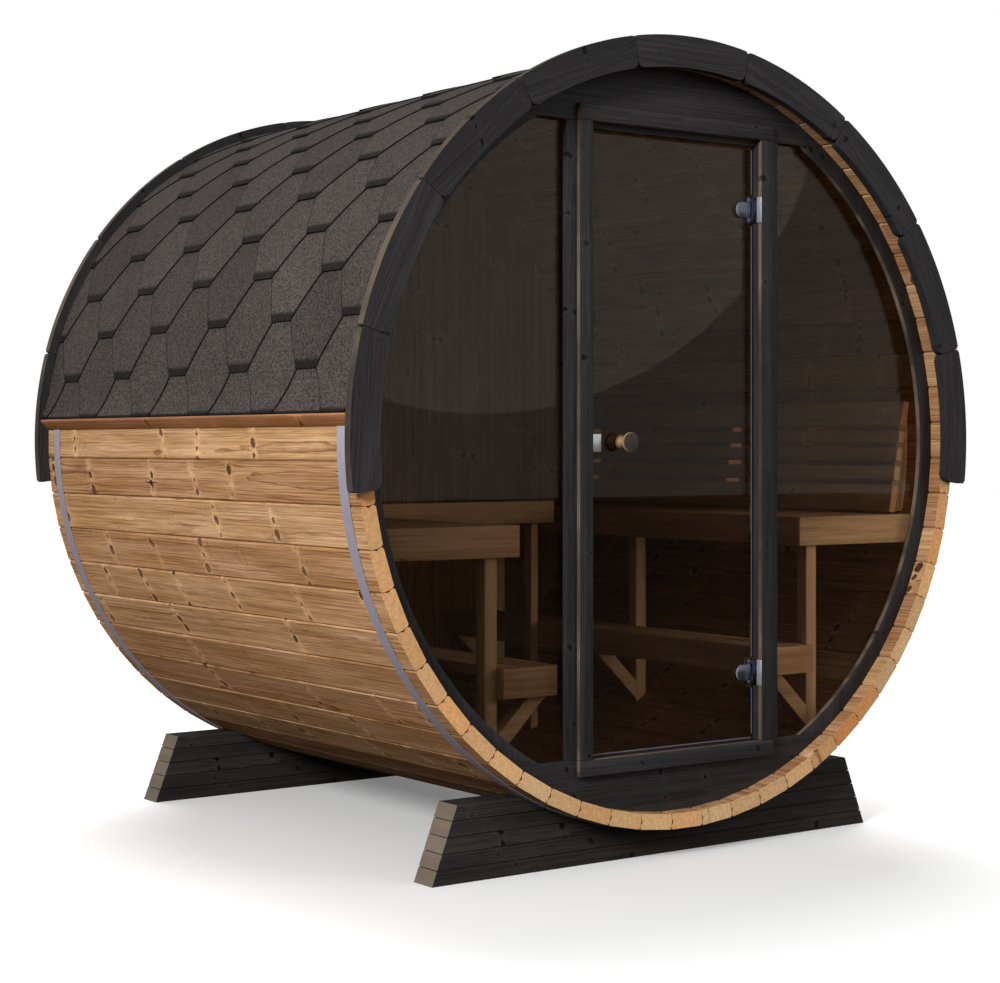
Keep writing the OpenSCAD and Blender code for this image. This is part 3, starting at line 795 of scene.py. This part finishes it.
def courses_of_tabs(name):
    """Copies in staggered rows, laid out flat."""
    tree, given, result = geometry_tree(name, [
        ("Rows", "NodeSocketInt", 5), ("Columns", "NodeSocketInt", 5),
        ("Row step", "NodeSocketFloat", 0.1), ("Pitch", "NodeSocketFloat", 0.3),
        ("Start", "NodeSocketFloat", 0.0), ("Seed", "NodeSocketInt", 1)])
    spots, index = points(tree, given["Rows"] * given["Columns"]), index_in(tree)
    row = ((index + 0.5) / given["Columns"]).floor()
    column = index - row * given["Columns"]
    along = (column + row % 2.0 * 0.5) * given["Pitch"] + given["Start"]
    moved = add(tree, "GeometryNodeSetPosition",
                {"Geometry": spots, "Position": xyz(along, row * given["Row step"], 0.0)})
    return placed(tree, given, result, moved.outputs[0])


def grown(name, base, build, **inputs):
    """The plain mesh that a tree of pieces makes from a base mesh."""
    obj = new_object(name, base)
    tree = built_once(build)
    modifier = obj.modifiers.new(name, "NODES")
    modifier.node_group = tree
    sockets = {item.name.lower().replace(" ", "_"): item.identifier
               for item in tree.interface.items_tree if item.in_out == "INPUT"}
    for label, value in inputs.items():
        modifier[sockets[label]] = value
    depsgraph = bpy.context.evaluated_depsgraph_get()
    depsgraph.update()
    mesh = bpy.data.meshes.new_from_object(obj.evaluated_get(depsgraph), preserve_all_data_layers=True,
                                           depsgraph=depsgraph)
    if not mesh.polygons:
        raise RuntimeError(f"{name}: the tree made no faces")
    obj.modifiers.clear()
    obj.data = mesh
    return obj


# ---------------------------------------------------------------- staves and hoops

def stave_outline(looks):
    """Profile of one stave at angle 0: radial distance, sideways distance."""
    half = math.pi / looks.stave_count
    slope = math.tan(half)
    outer, inner = FLAT_R, FLAT_R - looks.stave_thick
    chamfer, gap = looks.stave_chamfer, looks.stave_gap / 2
    middle = (outer + inner) / 2
    sink = looks.bead / 2
    steps = 8

    def side(sign, radius, hollow):
        across = Vector((math.cos(half), sign * math.sin(half)))
        out = Vector((-math.sin(half), sign * math.cos(half)))
        centre = Vector((middle, sign * (middle * slope - gap)))
        reach = math.sqrt(radius * radius - sink * sink)
        points = []
        for i in range(steps + 1):
            p = -reach * math.cos(math.pi * i / steps)
            q = math.sqrt(max(0.0, radius * radius - p * p)) - sink
            points.append(centre + across * p + out * (-q if hollow else q))
        return points

    def corner(r, sign):
        return Vector((r, sign * (r * slope - gap)))

    upper = ([Vector((inner, inner * slope - gap - chamfer)), corner(inner + chamfer, 1)]
             + side(1, looks.bead - looks.stave_gap, False)
             + [corner(outer - chamfer, 1), Vector((outer, outer * slope - gap - chamfer))])
    lower = ([Vector((outer, -(outer * slope - gap - chamfer))), corner(outer - chamfer, -1)]
             + list(reversed(side(-1, looks.bead + looks.stave_gap, True)))
             + [corner(inner + chamfer, -1), Vector((inner, -(inner * slope - gap - chamfer)))])
    return [tuple(p) for p in upper + lower]


class MakeStaves(bpy.types.Operator):
    """Sets sixty beaded staves round the barrel"""
    bl_idname = "sauna.make_staves"
    bl_label = "Staves"

    def execute(self, context):
        looks = context.scene.sauna_barrel
        bm = bmesh.new()
        prism(bm, stave_outline(looks), FRONT_Y, REAR_Y, 0.0008)
        base = mesh_from(bm, "stave")
        mark_copied(base, along=1)
        pitch = 2 * math.pi / looks.stave_count
        material = wood("heat_treated_pine", looks.pale, looks.deep, looks.end,
                        ring=0.0042, spacing=0.29, knot=0.0165, tone=0.25)
        obj = grown("staves", base, ring_of_pieces, count=looks.stave_count, start=0.0, pitch=pitch,
                    axis_height=AXIS_Z, seed=4, material=material)
        finish_piece(obj, "barrel", STAVE_NODES)
        return {"FINISHED"}


class MakeHoops(bpy.types.Operator):
    """Finishes the steel hoops and their tension bolts"""
    bl_idname = "sauna.make_hoops"
    bl_label = "Hoops"

    def execute(self, context):
        looks = context.scene.sauna_fittings
        # the hoop colour is grey steel with a painted blue-violet sky reflection
        band = steel("hoop_band", looks.band, 0.34, (160.0, 1400.0, 160.0), metal=0.45)
        for node in ("hoop_front", "hoop_rear"):
            dress(node, band)
        dress("hoop_bolts", steel("bolt_zinc", (0.46, 0.47, 0.50), 0.38, (500.0, 500.0, 500.0)))
        return {"FINISHED"}


# ---------------------------------------------------------------- roof

# the shingles' under surface above the flats of the staves, and their ends inside the trims
ROOF_LIFT = 0.0037
END_INSET = 0.0006


def row_height(looks):
    """Distance up the roof between two rows of tabs."""
    return looks.row_angle * (FLAT_R + 0.003)


def roof_path(looks):
    """Points of the roof's under surface on the right, from the eave up to the ridge."""
    radius = FLAT_R + ROOF_LIFT
    start = math.asin((EAVE_Z + 0.001) / radius)
    join = math.radians(8.6)
    flare = EAVE_X - radius * math.cos(start) - 2 * looks.sheet - 0.0004
    points = []
    turn = start
    while turn < math.pi / 2 + 0.02:
        lift = 0.0
        if turn < join:
            lift = flare * ((join - turn) / (join - start)) ** 2.3
        points.append(Vector((radius * math.cos(turn) + lift, radius * math.sin(turn))))
        turn += math.radians(0.25)
    return points


class Slope:
    """Walks up the roof from the eave by arc length."""

    def __init__(self, points):
        self.points = points
        self.steps = [0.0]
        for a, b in zip(points, points[1:]):
            self.steps.append(self.steps[-1] + (b - a).length)

    def at(self, distance):
        distance = max(-0.05, min(self.steps[-1], distance))
        low_end, high_end = 0, len(self.steps) - 2
        while low_end < high_end:
            k = (low_end + high_end + 1) // 2
            if self.steps[k] <= distance:
                low_end = k
            else:
                high_end = k - 1
        k = low_end
        a, b = self.points[k], self.points[k + 1]
        way = (b - a).normalized()
        spot = a + way * (distance - self.steps[k])
        return spot, Vector((way.y, -way.x))


def mark_shingle(mesh, across=1.0):
    """Gives a flat shingle its own coordinates, and marks every face but the upper one as an edge."""
    grain, edge = with_layers(mesh, ("grain", "FLOAT_VECTOR", "POINT"), ("edge", "FLOAT", "CORNER"))
    for i, v in enumerate(mesh.vertices):
        grain.data[i].vector = (v.co.x * across, v.co.y, v.co.z * across)
    for polygon in mesh.polygons:
        for loop in polygon.loop_indices:
            edge.data[loop].value = 0.0 if polygon.normal.z > 0.5 else 1.0


def tab_mesh(looks, row):
    """One period of a shingle strip, lying flat: X along the roof, Y up the slope."""
    a, half = looks.tab_low / 2, looks.tab_pitch / 2
    wide, hidden = half - a, 0.010
    top = 2 * row + hidden
    outline = [(-a, 0), (a, 0), (wide, row), (half, row), (half, top), (-half, top), (-half, row),
               (-wide, row)]
    bm = bmesh.new()
    under = [bm.verts.new((x, y, 0.0)) for x, y in outline]
    over = [bm.verts.new((x, y, 1.0)) for x, y in outline]
    bm.faces.new(over)
    bm.faces.new(list(reversed(under)))
    count = len(outline)
    for i in range(count):
        j = (i + 1) % count
        bm.faces.new((under[i], under[j], over[j], over[i]))
    pieces = 12
    for k in range(1, pieces):
        cut(bm, (0, top * k / pieces, 0), (0, 1, 0))
    cut(bm, (0, row, 0), (0, 1, 0))
    mesh = mesh_from(bm, "tab")
    mark_shingle(mesh)
    for v in mesh.vertices:
        over_top = looks.sheet * max(0.0, 2 - v.co.y / row)
        v.co.z = over_top if v.co.z > 0.5 else max(0.0, over_top - looks.sheet)
    return mesh


class MakeRoof(bpy.types.Operator):
    """Lays courses of six sided shingles over both sides of the roof, and a ridge over them"""
    bl_idname = "sauna.make_roof"
    bl_label = "Roof shingles"

    def execute(self, context):
        looks = context.scene.sauna_roof
        material = shingle_material(looks)
        row = row_height(looks)
        slope = Slope(roof_path(looks))
        # distance from the eave to the lowest whole row
        first = 0.0
        while slope.at(first)[0].y < FLAT_R * math.sin(looks.first_row):
            first += 0.0005
        rows, columns = 15, 7
        first_tab = 0.247
        start_y = FRONT_Y + first_tab - looks.tab_pitch
        for side, name, node in ((-1, "shingles_left", "roof_cover_left"),
                                 (1, "shingles_right", "roof_cover_right")):
            obj = grown(name, tab_mesh(looks, row), courses_of_tabs, rows=rows, columns=columns,
                        row_step=row, pitch=looks.tab_pitch, start=start_y,
                        seed=11 + side, material=material)
            self.wrap(obj.data, slope, first - 2 * row, side)
            finish_piece(obj, "barrel", [node])
        self.ridge(looks, material)
        return {"FINISHED"}

    def wrap(self, mesh, slope, shift, side):
        """Cuts the flat courses to the roof and bends them round it."""
        ridge, lip, clearance = slope.steps[-1] - 0.022, 0.006, 0.0004
        ends = (((0, 0, 0), (0, -1, 0)), ((0, ridge, 0), (0, 1, 0)),
                ((FRONT_Y + END_INSET, 0, 0), (-1, 0, 0)), ((REAR_Y - END_INSET, 0, 0), (1, 0, 0)))
        with editing(mesh) as bm:
            for v in bm.verts:
                v.co.y += shift
            for place, normal in ends:
                cut(bm, place, normal, clear=True)
            bmesh.ops.delete(bm, geom=[v for v in bm.verts if not v.link_faces], context="VERTS")
            close_holes(bm)
            cut(bm, (0, lip, 0), (0, 1, 0))
            edge = bm.loops.layers.float.get("edge")
            for face in bm.faces:
                if face.calc_center_median().y < lip:
                    for loop in face.loops:
                        loop[edge] = 1.0
            for v in bm.verts:
                spot, out = slope.at(v.co.y)
                place = spot + out * (v.co.z + clearance)
                v.co = Vector((side * place.x, v.co.x, AXIS_Z + place.y))
            bmesh.ops.recalc_face_normals(bm, faces=bm.faces)

    def ridge(self, looks, material):
        """Overlapping caps along the ridge."""
        radius = FLAT_R + ROOF_LIFT + 2 * looks.sheet
        reach, step, cap, tilt = 0.125, 0.165, 0.30, 0.0034
        bends = 12
        bm = bmesh.new()
        outline = []
        for level in (0, 1):
            for i in range(bends + 1):
                t = (i / bends - 0.5) * 2 * reach / radius * (1 if level else -1)
                r = radius + 0.0006 + level * looks.sheet
                outline.append((r * math.sin(t), r * math.cos(t)))
        prism(bm, outline, 0.0, cap)
        for v in bm.verts:
            v.co.z += tilt * (1 - v.co.y / cap)
        mesh = mesh_from(bm, "ridge_cap")
        mark_shingle(mesh, across=0.0)
        count = math.ceil((REAR_Y - FRONT_Y) / step)
        obj = grown("ridge_caps", mesh, row_of_pieces, count=count, start=(0.0, FRONT_Y, AXIS_Z),
                    step=(0.0, step, 0.0), seed=5, material=material)
        with editing(obj.data) as bm:
            cut(bm, (0, REAR_Y - END_INSET, 0), (0, 1, 0), clear=True)
            close_holes(bm)
        finish_piece(obj, "barrel", [])


def arc_piece(outer, inner, half, joint, round_out, round_in):
    """Outline of one curved trim piece centred on angle 0, with rounded corners."""
    def corner(reach, radius, a, b, sign):
        v = -(joint / 2 + radius)
        u = math.sqrt(reach * reach - v * v)
        first = math.atan2(v, u)
        found = []
        for i in range(7):
            t = a(first) + (b(first) - a(first)) * i / 6
            pu, pv = u + radius * math.cos(t), v + radius * math.sin(t)
            x = pu * math.cos(half) - pv * math.sin(half)
            z = pu * math.sin(half) + pv * math.cos(half)
            found.append((x, sign * z))
        return found

    top_out, low_out = (corner(outer - round_out, round_out, lambda f: f, lambda f: math.pi / 2, sign)
                        for sign in (1, -1))
    top_in, low_in = (corner(inner + round_in, round_in, lambda f: math.pi / 2, lambda f: math.pi + f, sign)
                      for sign in (1, -1))

    def arc(radius, a, b):
        steps = 16
        return [(radius * math.cos(a + (b - a) * i / steps), radius * math.sin(a + (b - a) * i / steps))
                for i in range(1, steps)]

    def turn(point):
        return math.atan2(point[1], point[0])

    return (arc(outer, turn(low_out[0]), turn(top_out[0])) + top_out + top_in
            + arc(inner, turn(top_in[-1]), turn(low_in[-1])) + low_in[::-1] + low_out[::-1])


class MakeTrims(bpy.types.Operator):
    """Sets the arched trims of nine curved pieces at both ends of the roof"""
    bl_idname = "sauna.make_trims"
    bl_label = "Roof trims"

    def execute(self, context):
        looks = context.scene.sauna_roof
        front = context.scene.sauna_front
        drop = looks.trim_drop
        pitch = (math.pi + 2 * drop) / looks.trim_count
        material = stained_wood(front)
        joint, round_out, round_in, sunk = 0.0016, 0.008, 0.018, 0.0004
        outline = arc_piece(TRIM_R, TRIM_R - looks.trim_width, pitch / 2, joint, round_out, round_in)
        for name, node in (("arch_trim_front", "roof_trim_front"), ("arch_trim_rear", "roof_trim_rear")):
            bm = bmesh.new()
            y0, y1 = low(node).y, high(node).y
            at_front = y0 < 0
            face = y0 if at_front else y1
            prism(bm, outline, y0 + sunk * at_front, y1 - sunk * (not at_front), front.edge)
            base = mesh_from(bm, "trim_piece")
            mark_copied(base, along=2, bare=lambda n: 0.55 * (n.x > 0.8))
            obj = grown(name, base, ring_of_pieces, count=looks.trim_count, start=-drop + pitch / 2,
                        pitch=pitch, axis_height=AXIS_Z, seed=3, material=material)
            finish_piece(obj, "barrel", [node])
            self.screws(looks, name, pitch, face)
        soft_boards("{}_planed", ["eave_batten_left", "eave_batten_right"], eave_wood(),
                    0.0015, seed=20)
        return {"FINISHED"}

    def screws(self, looks, name, pitch, face):
        """Two countersunk screw heads at both ends of every trim piece."""
        bm = bmesh.new()
        radius, height = 0.0040, 0.0018
        sunk = math.copysign(0.0010, -face)
        for sign in (-1, 1):
            for reach, turn in ((0.030, 0.020), (0.056, 0.034)):
                t = sign * (pitch / 2 - turn)
                r = TRIM_R - looks.trim_width + reach
                spot = Matrix.Translation((r * math.cos(t), face + sunk, r * math.sin(t)))
                bmesh.ops.create_cone(bm, cap_ends=True, segments=14, radius1=radius, radius2=radius,
                                      depth=height, matrix=spot @ Matrix.Rotation(math.pi / 2, 4, "X"))
        obj = grown(name + "_screws", mesh_from(bm, "screws"), ring_of_pieces, count=looks.trim_count,
                    start=-looks.trim_drop + pitch / 2, pitch=pitch, axis_height=AXIS_Z, seed=2,
                    material=steel("screw_steel", (0.10, 0.095, 0.09), 0.5, (900.0, 900.0, 900.0)))
        finish_piece(obj, "barrel", [])


def stained_wood(front):
    return bpy.data.materials.get("dark_stained_pine") or wood(
        "dark_stained_pine", front.bare, times(front.bare, 0.6), times(front.bare, 0.8), ring=0.0055,
        spacing=0.26, knot=0.011, tone=0.12, stain=(front.stain, front.stain_pale), bump=0.0006)


def eave_wood():
    return wood("eave_pine", (0.42, 0.185, 0.080), (0.20, 0.082, 0.035), (0.40, 0.20, 0.09),
                ring=0.004, spacing=0.5, knot=0.012, tone=0.1)


# ---------------------------------------------------------------- cradles

class MakeCradles(bpy.types.Operator):
    """Stacks the boards of both cradles under the barrel"""
    bl_idname = "sauna.make_cradles"
    bl_label = "Cradles"

    def execute(self, context):
        material = wood("dark_stained_cradle", (0.205, 0.165, 0.135), (0.120, 0.095, 0.076),
                        (0.222, 0.176, 0.136), ring=0.005, spacing=0.36, knot=0.014, tone=0.10,
                        stain=((0.0240, 0.0218, 0.0202), (0.0500, 0.0455, 0.0420)), rough=0.7, gloss=0.15,
                        vary=0.25)
        for node, name in (("cradle_front", "cradle_boards_front"), ("cradle_rear", "cradle_boards_rear")):
            lo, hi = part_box(node)
            boards, joint = 5, 0.0020
            board = hi.z / boards
            saddle = FLAT_R + 0.0017
            lean = (hi.x - self.half_at(node, hi.z)) / hi.z
            bm = bmesh.new()
            for i in range(boards):
                z0, z1 = i * board, (i + 1) * board - joint
                x0, x1 = hi.x - lean * z0, hi.x - lean * z1
                if z0 <= AXIS_Z - saddle:
                    outlines = [[(-x0, z0), (x0, z0), (x1, z1), (-x1, z1)]]
                else:
                    steps = 6
                    levels = [z1 + (z0 - z1) * k / steps for k in range(steps + 1)]
                    arc = [(math.sqrt(saddle ** 2 - (AXIS_Z - z) ** 2), z) for z in levels]
                    right = [(x0, z0), (x1, z1)] + arc
                    outlines = [right, [(-x, z) for x, z in right]]
                for outline in outlines:
                    prism(bm, outline, lo.y, hi.y)
            bevel(bm, sharp_edges(bm, 0.6), 0.0020)
            mesh = mesh_from(bm, name)
            mark_boards(mesh, 31, along=0, bare=lambda n: abs(n.x) > 0.7, wide=2)
            finish_piece(new_object(name, mesh), "barrel", [node], material)
        return {"FINISHED"}

    def half_at(self, node, height):
        return max(abs(v.co.x) for v in NODES[node].data.vertices if v.co.z > height - 0.012)


# ---------------------------------------------------------------- front wall, casing and glass

class MakeFrontWall(bpy.types.Operator):
    """Planes the stained boards of the front wall and the door casing"""
    bl_idname = "sauna.make_front_wall"
    bl_label = "Front wall and casing"

    def execute(self, context):
        looks = context.scene.sauna_front
        material = stained_wood(looks)

        def cut_edge(normal):
            return abs(normal.y) < 0.3

        soft_boards("{}_boards", ["front_header", "front_sill"], material, looks.edge,
                    along=0, seed=41)
        soft_boards("{}_boards", ["front_ring_left", "front_ring_right"], material,
                    looks.edge, along=2, bare=cut_edge, seed=52)
        soft_boards("{}_board", ["front_jamb_left", "front_jamb_right"], material,
                    looks.edge, along=2, seed=63)
        soft_boards("{}_board", ["casing_left", "casing_right"], material, looks.edge,
                    along=2, bare=cut_edge, seed=68)
        soft_boards("{}_board", ["casing_top", "casing_bottom"], material, looks.edge,
                    along=0, bare=cut_edge, seed=77)
        return {"FINISHED"}


class MakeGlass(bpy.types.Operator):
    """Tints the two panes and the glass door"""
    bl_idname = "sauna.make_glass"
    bl_label = "Glass"

    def execute(self, context):
        material = glass_material("smoked_glass", context.scene.sauna_front.glass_tint)
        for node in ("pane_left", "pane_right", "door_glass"):
            dress(node, material)
        return {"FINISHED"}


class MakeRearWall(bpy.types.Operator):
    """Planes the upright boards of the rear wall"""
    bl_idname = "sauna.make_rear_wall"
    bl_label = "Rear wall"

    def execute(self, context):
        looks = context.scene.sauna_barrel
        material = wood("rear_pine", looks.pale, looks.deep, looks.end, ring=0.005,
                        spacing=0.45, knot=0.013, tone=0.20)
        soft_boards("{}_boards", ["rear_wall"], material, 0.0012, along=2, seed=88)
        return {"FINISHED"}


# ---------------------------------------------------------------- benches

class MakeBenches(bpy.types.Operator):
    """Builds the benches, footrests, backrests and the aisle rail"""
    bl_idname = "sauna.make_benches"
    bl_label = "Benches"

    def execute(self, context):
        looks = context.scene.sauna_interior
        material = wood("bench_alder", looks.pale, looks.deep, times(looks.pale, 1.05),
                        ring=0.006, spacing=1.4, knot=0.008, tone=0.14)
        self.slats("bench_left_seat", "seat_slats_left", material, looks.edge)
        self.slats("bench_right_seat", "seat_slats_right", material, looks.edge)
        soft_boards("{}_boards", ["bench_left_frame", "bench_right_frame", "footrest_left", "footrest_right",
                                  "backrest_left", "backrest_right", "guard_rail"],
                    material, looks.edge, seed=95)
        return {"FINISHED"}

    def slats(self, node, name, material, edge):
        lo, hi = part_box(node)
        count, gap = 5, 0.005
        width = (hi.x - lo.x - gap * (count - 1)) / count
        bm = bmesh.new()
        prism(bm, [(0, lo.z), (width, lo.z), (width, hi.z), (0, hi.z)], lo.y, hi.y)
        bevel(bm, bm.edges, edge)
        base = mesh_from(bm, "slat")
        mark_copied(base, along=1)
        obj = grown(name, base, row_of_pieces, count=count, start=(lo.x, 0.0, 0.0),
                    step=(width + gap, 0.0, 0.0), seed=6, material=material)
        finish_piece(obj, "barrel", [node])


# ---------------------------------------------------------------- fittings

class MakeFittings(bpy.types.Operator):
    """Polishes the hinges and the catch, and turns the door knob"""
    bl_idname = "sauna.make_fittings"
    bl_label = "Hinges, catch and knob"

    def execute(self, context):
        looks = context.scene.sauna_fittings
        chrome = steel("polished_steel", looks.steel, 0.26, (300.0, 300.0, 300.0), 0.85, 0.75)
        # a darker bluish copy of the polished steel
        darker_steel_copy = steel("satin_steel", [c * t for c, t in zip(looks.steel, (0.21, 0.23, 0.31))], 0.22,
                      (300.0, 300.0, 300.0), 0.85)
        casing_rear = high("casing_right").y
        for node, body in (("hinge_brackets", "barrel"), ("catch_keeper", "barrel"),
                           ("hinge_clamps", "door"), ("catch_plate", "door")):
            edge = 0.0006 if node != "hinge_clamps" else 0.0018
            mesh = softened(node, node + "_polished", edge)
            if node == "hinge_brackets":
                with editing(mesh) as bm:
                    cut(bm, (0, casing_rear, 0), (0, 1, 0))
            mesh.materials.append(chrome)
            mesh.materials.append(darker_steel_copy)
            # bracket parts sunk behind the casing get the darker copy as painted shade; the clamps' front
            # faces get the darker copy too
            for polygon in mesh.polygons:
                deep = node == "hinge_brackets" and polygon.center.y > casing_rear
                face = node == "hinge_clamps" and polygon.normal.y < -0.9
                polygon.material_index = int(deep or face)
            finish_piece(new_object(node + "_polished", mesh), body, [node])
        self.door_seal()
        turned = wood("turned_knob", looks.knob, times(looks.knob, 0.6), looks.knob_face, ring=0.003,
                      spacing=2.0, knot=0.002, tone=0.05, rough=0.45)
        for node in ("door_knob_outer", "door_knob_inner"):
            mesh = softened(node, node + "_turned", 0.0005, 1)
            mark_boards(mesh, 5, along=1)
            finish_piece(new_object(node + "_turned", mesh), "door", [node], turned)
        return {"FINISHED"}

    def door_seal(self):
        """Clear seals on the hinge edge, clear of the hinges, and along the foot of the door glass."""
        lo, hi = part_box("door_glass")
        levels = sorted(v.co.z for v in NODES["hinge_brackets"].data.vertices)
        lower_top, upper_foot = max(zip(levels, levels[1:]), key=lambda pair: pair[1] - pair[0])
        free, thick, gap, proud, edge = 0.008, 0.003, 0.0002, 0.001, 0.0006
        strips = [(hi.x + gap, hi.x + gap + thick, z0, z1) for z0, z1 in (
            (lo.z + free, levels[0] - free), (lower_top + free, upper_foot - free),
            (levels[-1] + free, hi.z))]
        strips.append((lo.x, hi.x, lo.z - thick, lo.z - gap))
        bm = bmesh.new()
        for x0, x1, z0, z1 in strips:
            prism(bm, [(x0, z0), (x1, z0), (x1, z1), (x0, z1)], lo.y - proud, hi.y, edge)
        material, tree, shader = new_material("clear_seal")
        smear = object_place(tree).noise(30.0, 2.0)
        feed_all(shader, {"Base Color": paint(smear, (0.10, 0.12, 0.17), (0.15, 0.175, 0.23)),
                          "Roughness": 0.25})
        finish_piece(new_object("door_seal", mesh_from(bm, "door_seal")), "door", [],
                     material)


# ---------------------------------------------------------------- stage

class SetStage(bpy.types.Operator):
    """Sets the floor, the lamps, the backdrop and the camera"""
    bl_idname = "sauna.set_stage"
    bl_label = "Stage"

    def execute(self, context):
        looks = context.scene.sauna_stage
        scene = context.scene
        scene.view_settings.view_transform = "Standard"
        floor = self.floor()
        self.world(scene, looks)
        self.lamp("key_lamp", (-7.6, -4.0, 4.1), (0.0, -0.2, 1.0), 2.4, looks.key)
        self.lamp("fill_lamp", (3.5, -6.5, 3.2), (0.0, 0.0, 1.0), 4.0, looks.fill)
        self.floor_light(floor, looks)
        self.bench_light(looks)
        self.camera(scene)
        return {"FINISHED"}

    def floor(self):
        bm = bmesh.new()
        bmesh.ops.create_grid(bm, x_segments=8, y_segments=8, size=30.0)
        obj = new_object("studio_floor", mesh_from(bm, "studio_floor"))
        material, tree, shader = new_material("studio_floor")
        pale = paint(object_place(tree).noise(0.6, 2.0), (0.80, 0.80, 0.80), (0.82, 0.82, 0.82))
        path = add(tree, "ShaderNodeLightPath").outputs
        bounced = Field(path["Is Diffuse Ray"]).or_more(Field(path["Is Glossy Ray"]))
        feed_all(shader, {
            "Base Color": paint(bounced, pale, (0.06, 0.055, 0.05)), "Roughness": 0.9,
            "Specular IOR Level": 0.0, "Emission Color": (1.0, 1.0, 1.0, 1.0),
            "Emission Strength": seen_directly(tree) * 0.18})
        obj.data.materials.append(material)
        return obj

    def world(self, scene, looks):
        world = scene.world or bpy.data.worlds.new("studio")
        scene.world = world
        world.use_nodes = True
        tree = world.node_tree
        tree.nodes.clear()
        mirrored = Field(add(tree, "ShaderNodeLightPath").outputs["Is Glossy Ray"])
        around = mirrored.line(0.0, 1.0, looks.ambient, looks.mirrored)
        strength = seen_directly(tree).line(0.0, 1.0, around, 1.0)
        sky = add(tree, "ShaderNodeBackground", {"Color": (1.0, 1.0, 1.0, 1.0), "Strength": strength})
        feed(add(tree, "ShaderNodeOutputWorld").inputs[0], sky.outputs[0])

    def lamp(self, name, place, target, size, power):
        data = bpy.data.lights.new(name, "AREA")
        data.shape = "DISK"
        data.size = size
        data.energy = power
        obj = new_object(name, data)
        obj.location = place
        obj.visible_glossy = False
        obj.rotation_euler = (Vector(target) - Vector(place)).to_track_quat("-Z", "Y").to_euler()
        return obj

    def only_on(self, lamp, pieces, blockers=None):
        """Limits a lamp to some pieces, and its shadows to some others."""
        lit = bpy.data.collections.new(lamp.name + "_lit")
        for piece in pieces:
            lit.objects.link(piece)
        lamp.light_linking.receiver_collection = lit
        if blockers is not None:
            casting = bpy.data.collections.new(lamp.name + "_shadows")
            for piece in blockers:
                casting.objects.link(piece)
            lamp.light_linking.blocker_collection = casting

    def floor_light(self, floor, looks):
        """High light that whitens the floor and leaves the cabin's soft shadow in front of it."""
        data = bpy.data.lights.new("floor_light", "SUN")
        data.energy = looks.floor
        data.angle = math.radians(44)
        obj = new_object("floor_light", data)
        obj.location = (0.0, 0.0, 5.0)
        obj.rotation_euler = Vector((-0.35, -0.70, -1.0)).to_track_quat("-Z", "Y").to_euler()
        obj.visible_glossy = False
        self.only_on(obj, [floor])

    def bench_light(self, looks):
        """Light from the front that reaches the benches alone, as daylight does through the panes."""
        lamp = self.lamp("bench_light", (1.4, -2.2, 1.0), (0.2, 0.5, 0.7), 1.1, looks.benches)
        boards = ("bench_", "footrest_", "backrest_", "guard_")
        benches = [piece for piece in bpy.data.objects if piece.name.startswith("seat_slats_")
                   or (piece.name.startswith(boards) and piece.name.endswith("_boards"))]
        self.only_on(lamp, benches, benches)

    def camera(self, scene):
        data = bpy.data.cameras.new("camera")
        data.sensor_fit = "HORIZONTAL"
        data.sensor_width = 36.0
        data.lens = 74.79
        data.shift_y = -0.0475
        obj = new_object("camera", data)
        obj.location = (-3.6315, -5.0514, 1.0971)
        obj.rotation_euler = (math.radians(90), 0.0, math.radians(-35.934))
        scene.camera = obj


def seen_directly(tree):
    """1 for the camera, and for what shows through glass."""
    path = add(tree, "ShaderNodeLightPath").outputs
    return Field(path["Is Camera Ray"]).or_more(Field(path["Is Transmission Ray"]))


# ---------------------------------------------------------------- panel and registration

OPERATORS = (MakeStaves, MakeHoops, MakeRoof, MakeTrims, MakeCradles, MakeFrontWall, MakeGlass,
             MakeRearWall, MakeBenches, MakeFittings, SetStage)


class SaunaPanel(bpy.types.Panel):
    """Lists the pieces of the sauna and their sizes and colours"""
    bl_idname = "VIEW3D_PT_sauna"
    bl_label = "Barrel sauna"
    bl_space_type = "VIEW_3D"
    bl_region_type = "UI"
    bl_category = "Sauna"

    def draw(self, context):
        for operator in OPERATORS:
            self.layout.operator(operator.bl_idname)
        for name, group in PROPERTY_GROUPS:
            box = self.layout.box()
            settings = getattr(context.scene, name)
            for prop in group.__annotations__:
                box.prop(settings, prop)


def register():
    for _, group in PROPERTY_GROUPS:
        bpy.utils.register_class(group)
    for name, group in PROPERTY_GROUPS:
        setattr(bpy.types.Scene, name, PointerProperty(type=group))
    for cls in OPERATORS + (SaunaPanel,):
        bpy.utils.register_class(cls)


def unregister():
    for cls in reversed(OPERATORS + (SaunaPanel,)):
        bpy.utils.unregister_class(cls)
    for name, group in reversed(PROPERTY_GROUPS):
        delattr(bpy.types.Scene, name)
        bpy.utils.unregister_class(group)


def main():
    register()
    for operator in OPERATORS:
        family, name = operator.bl_idname.split(".")
        if getattr(getattr(bpy.ops, family), name)() != {"FINISHED"}:
            raise RuntimeError(operator.bl_idname)


if __name__ == "__main__":
    main()
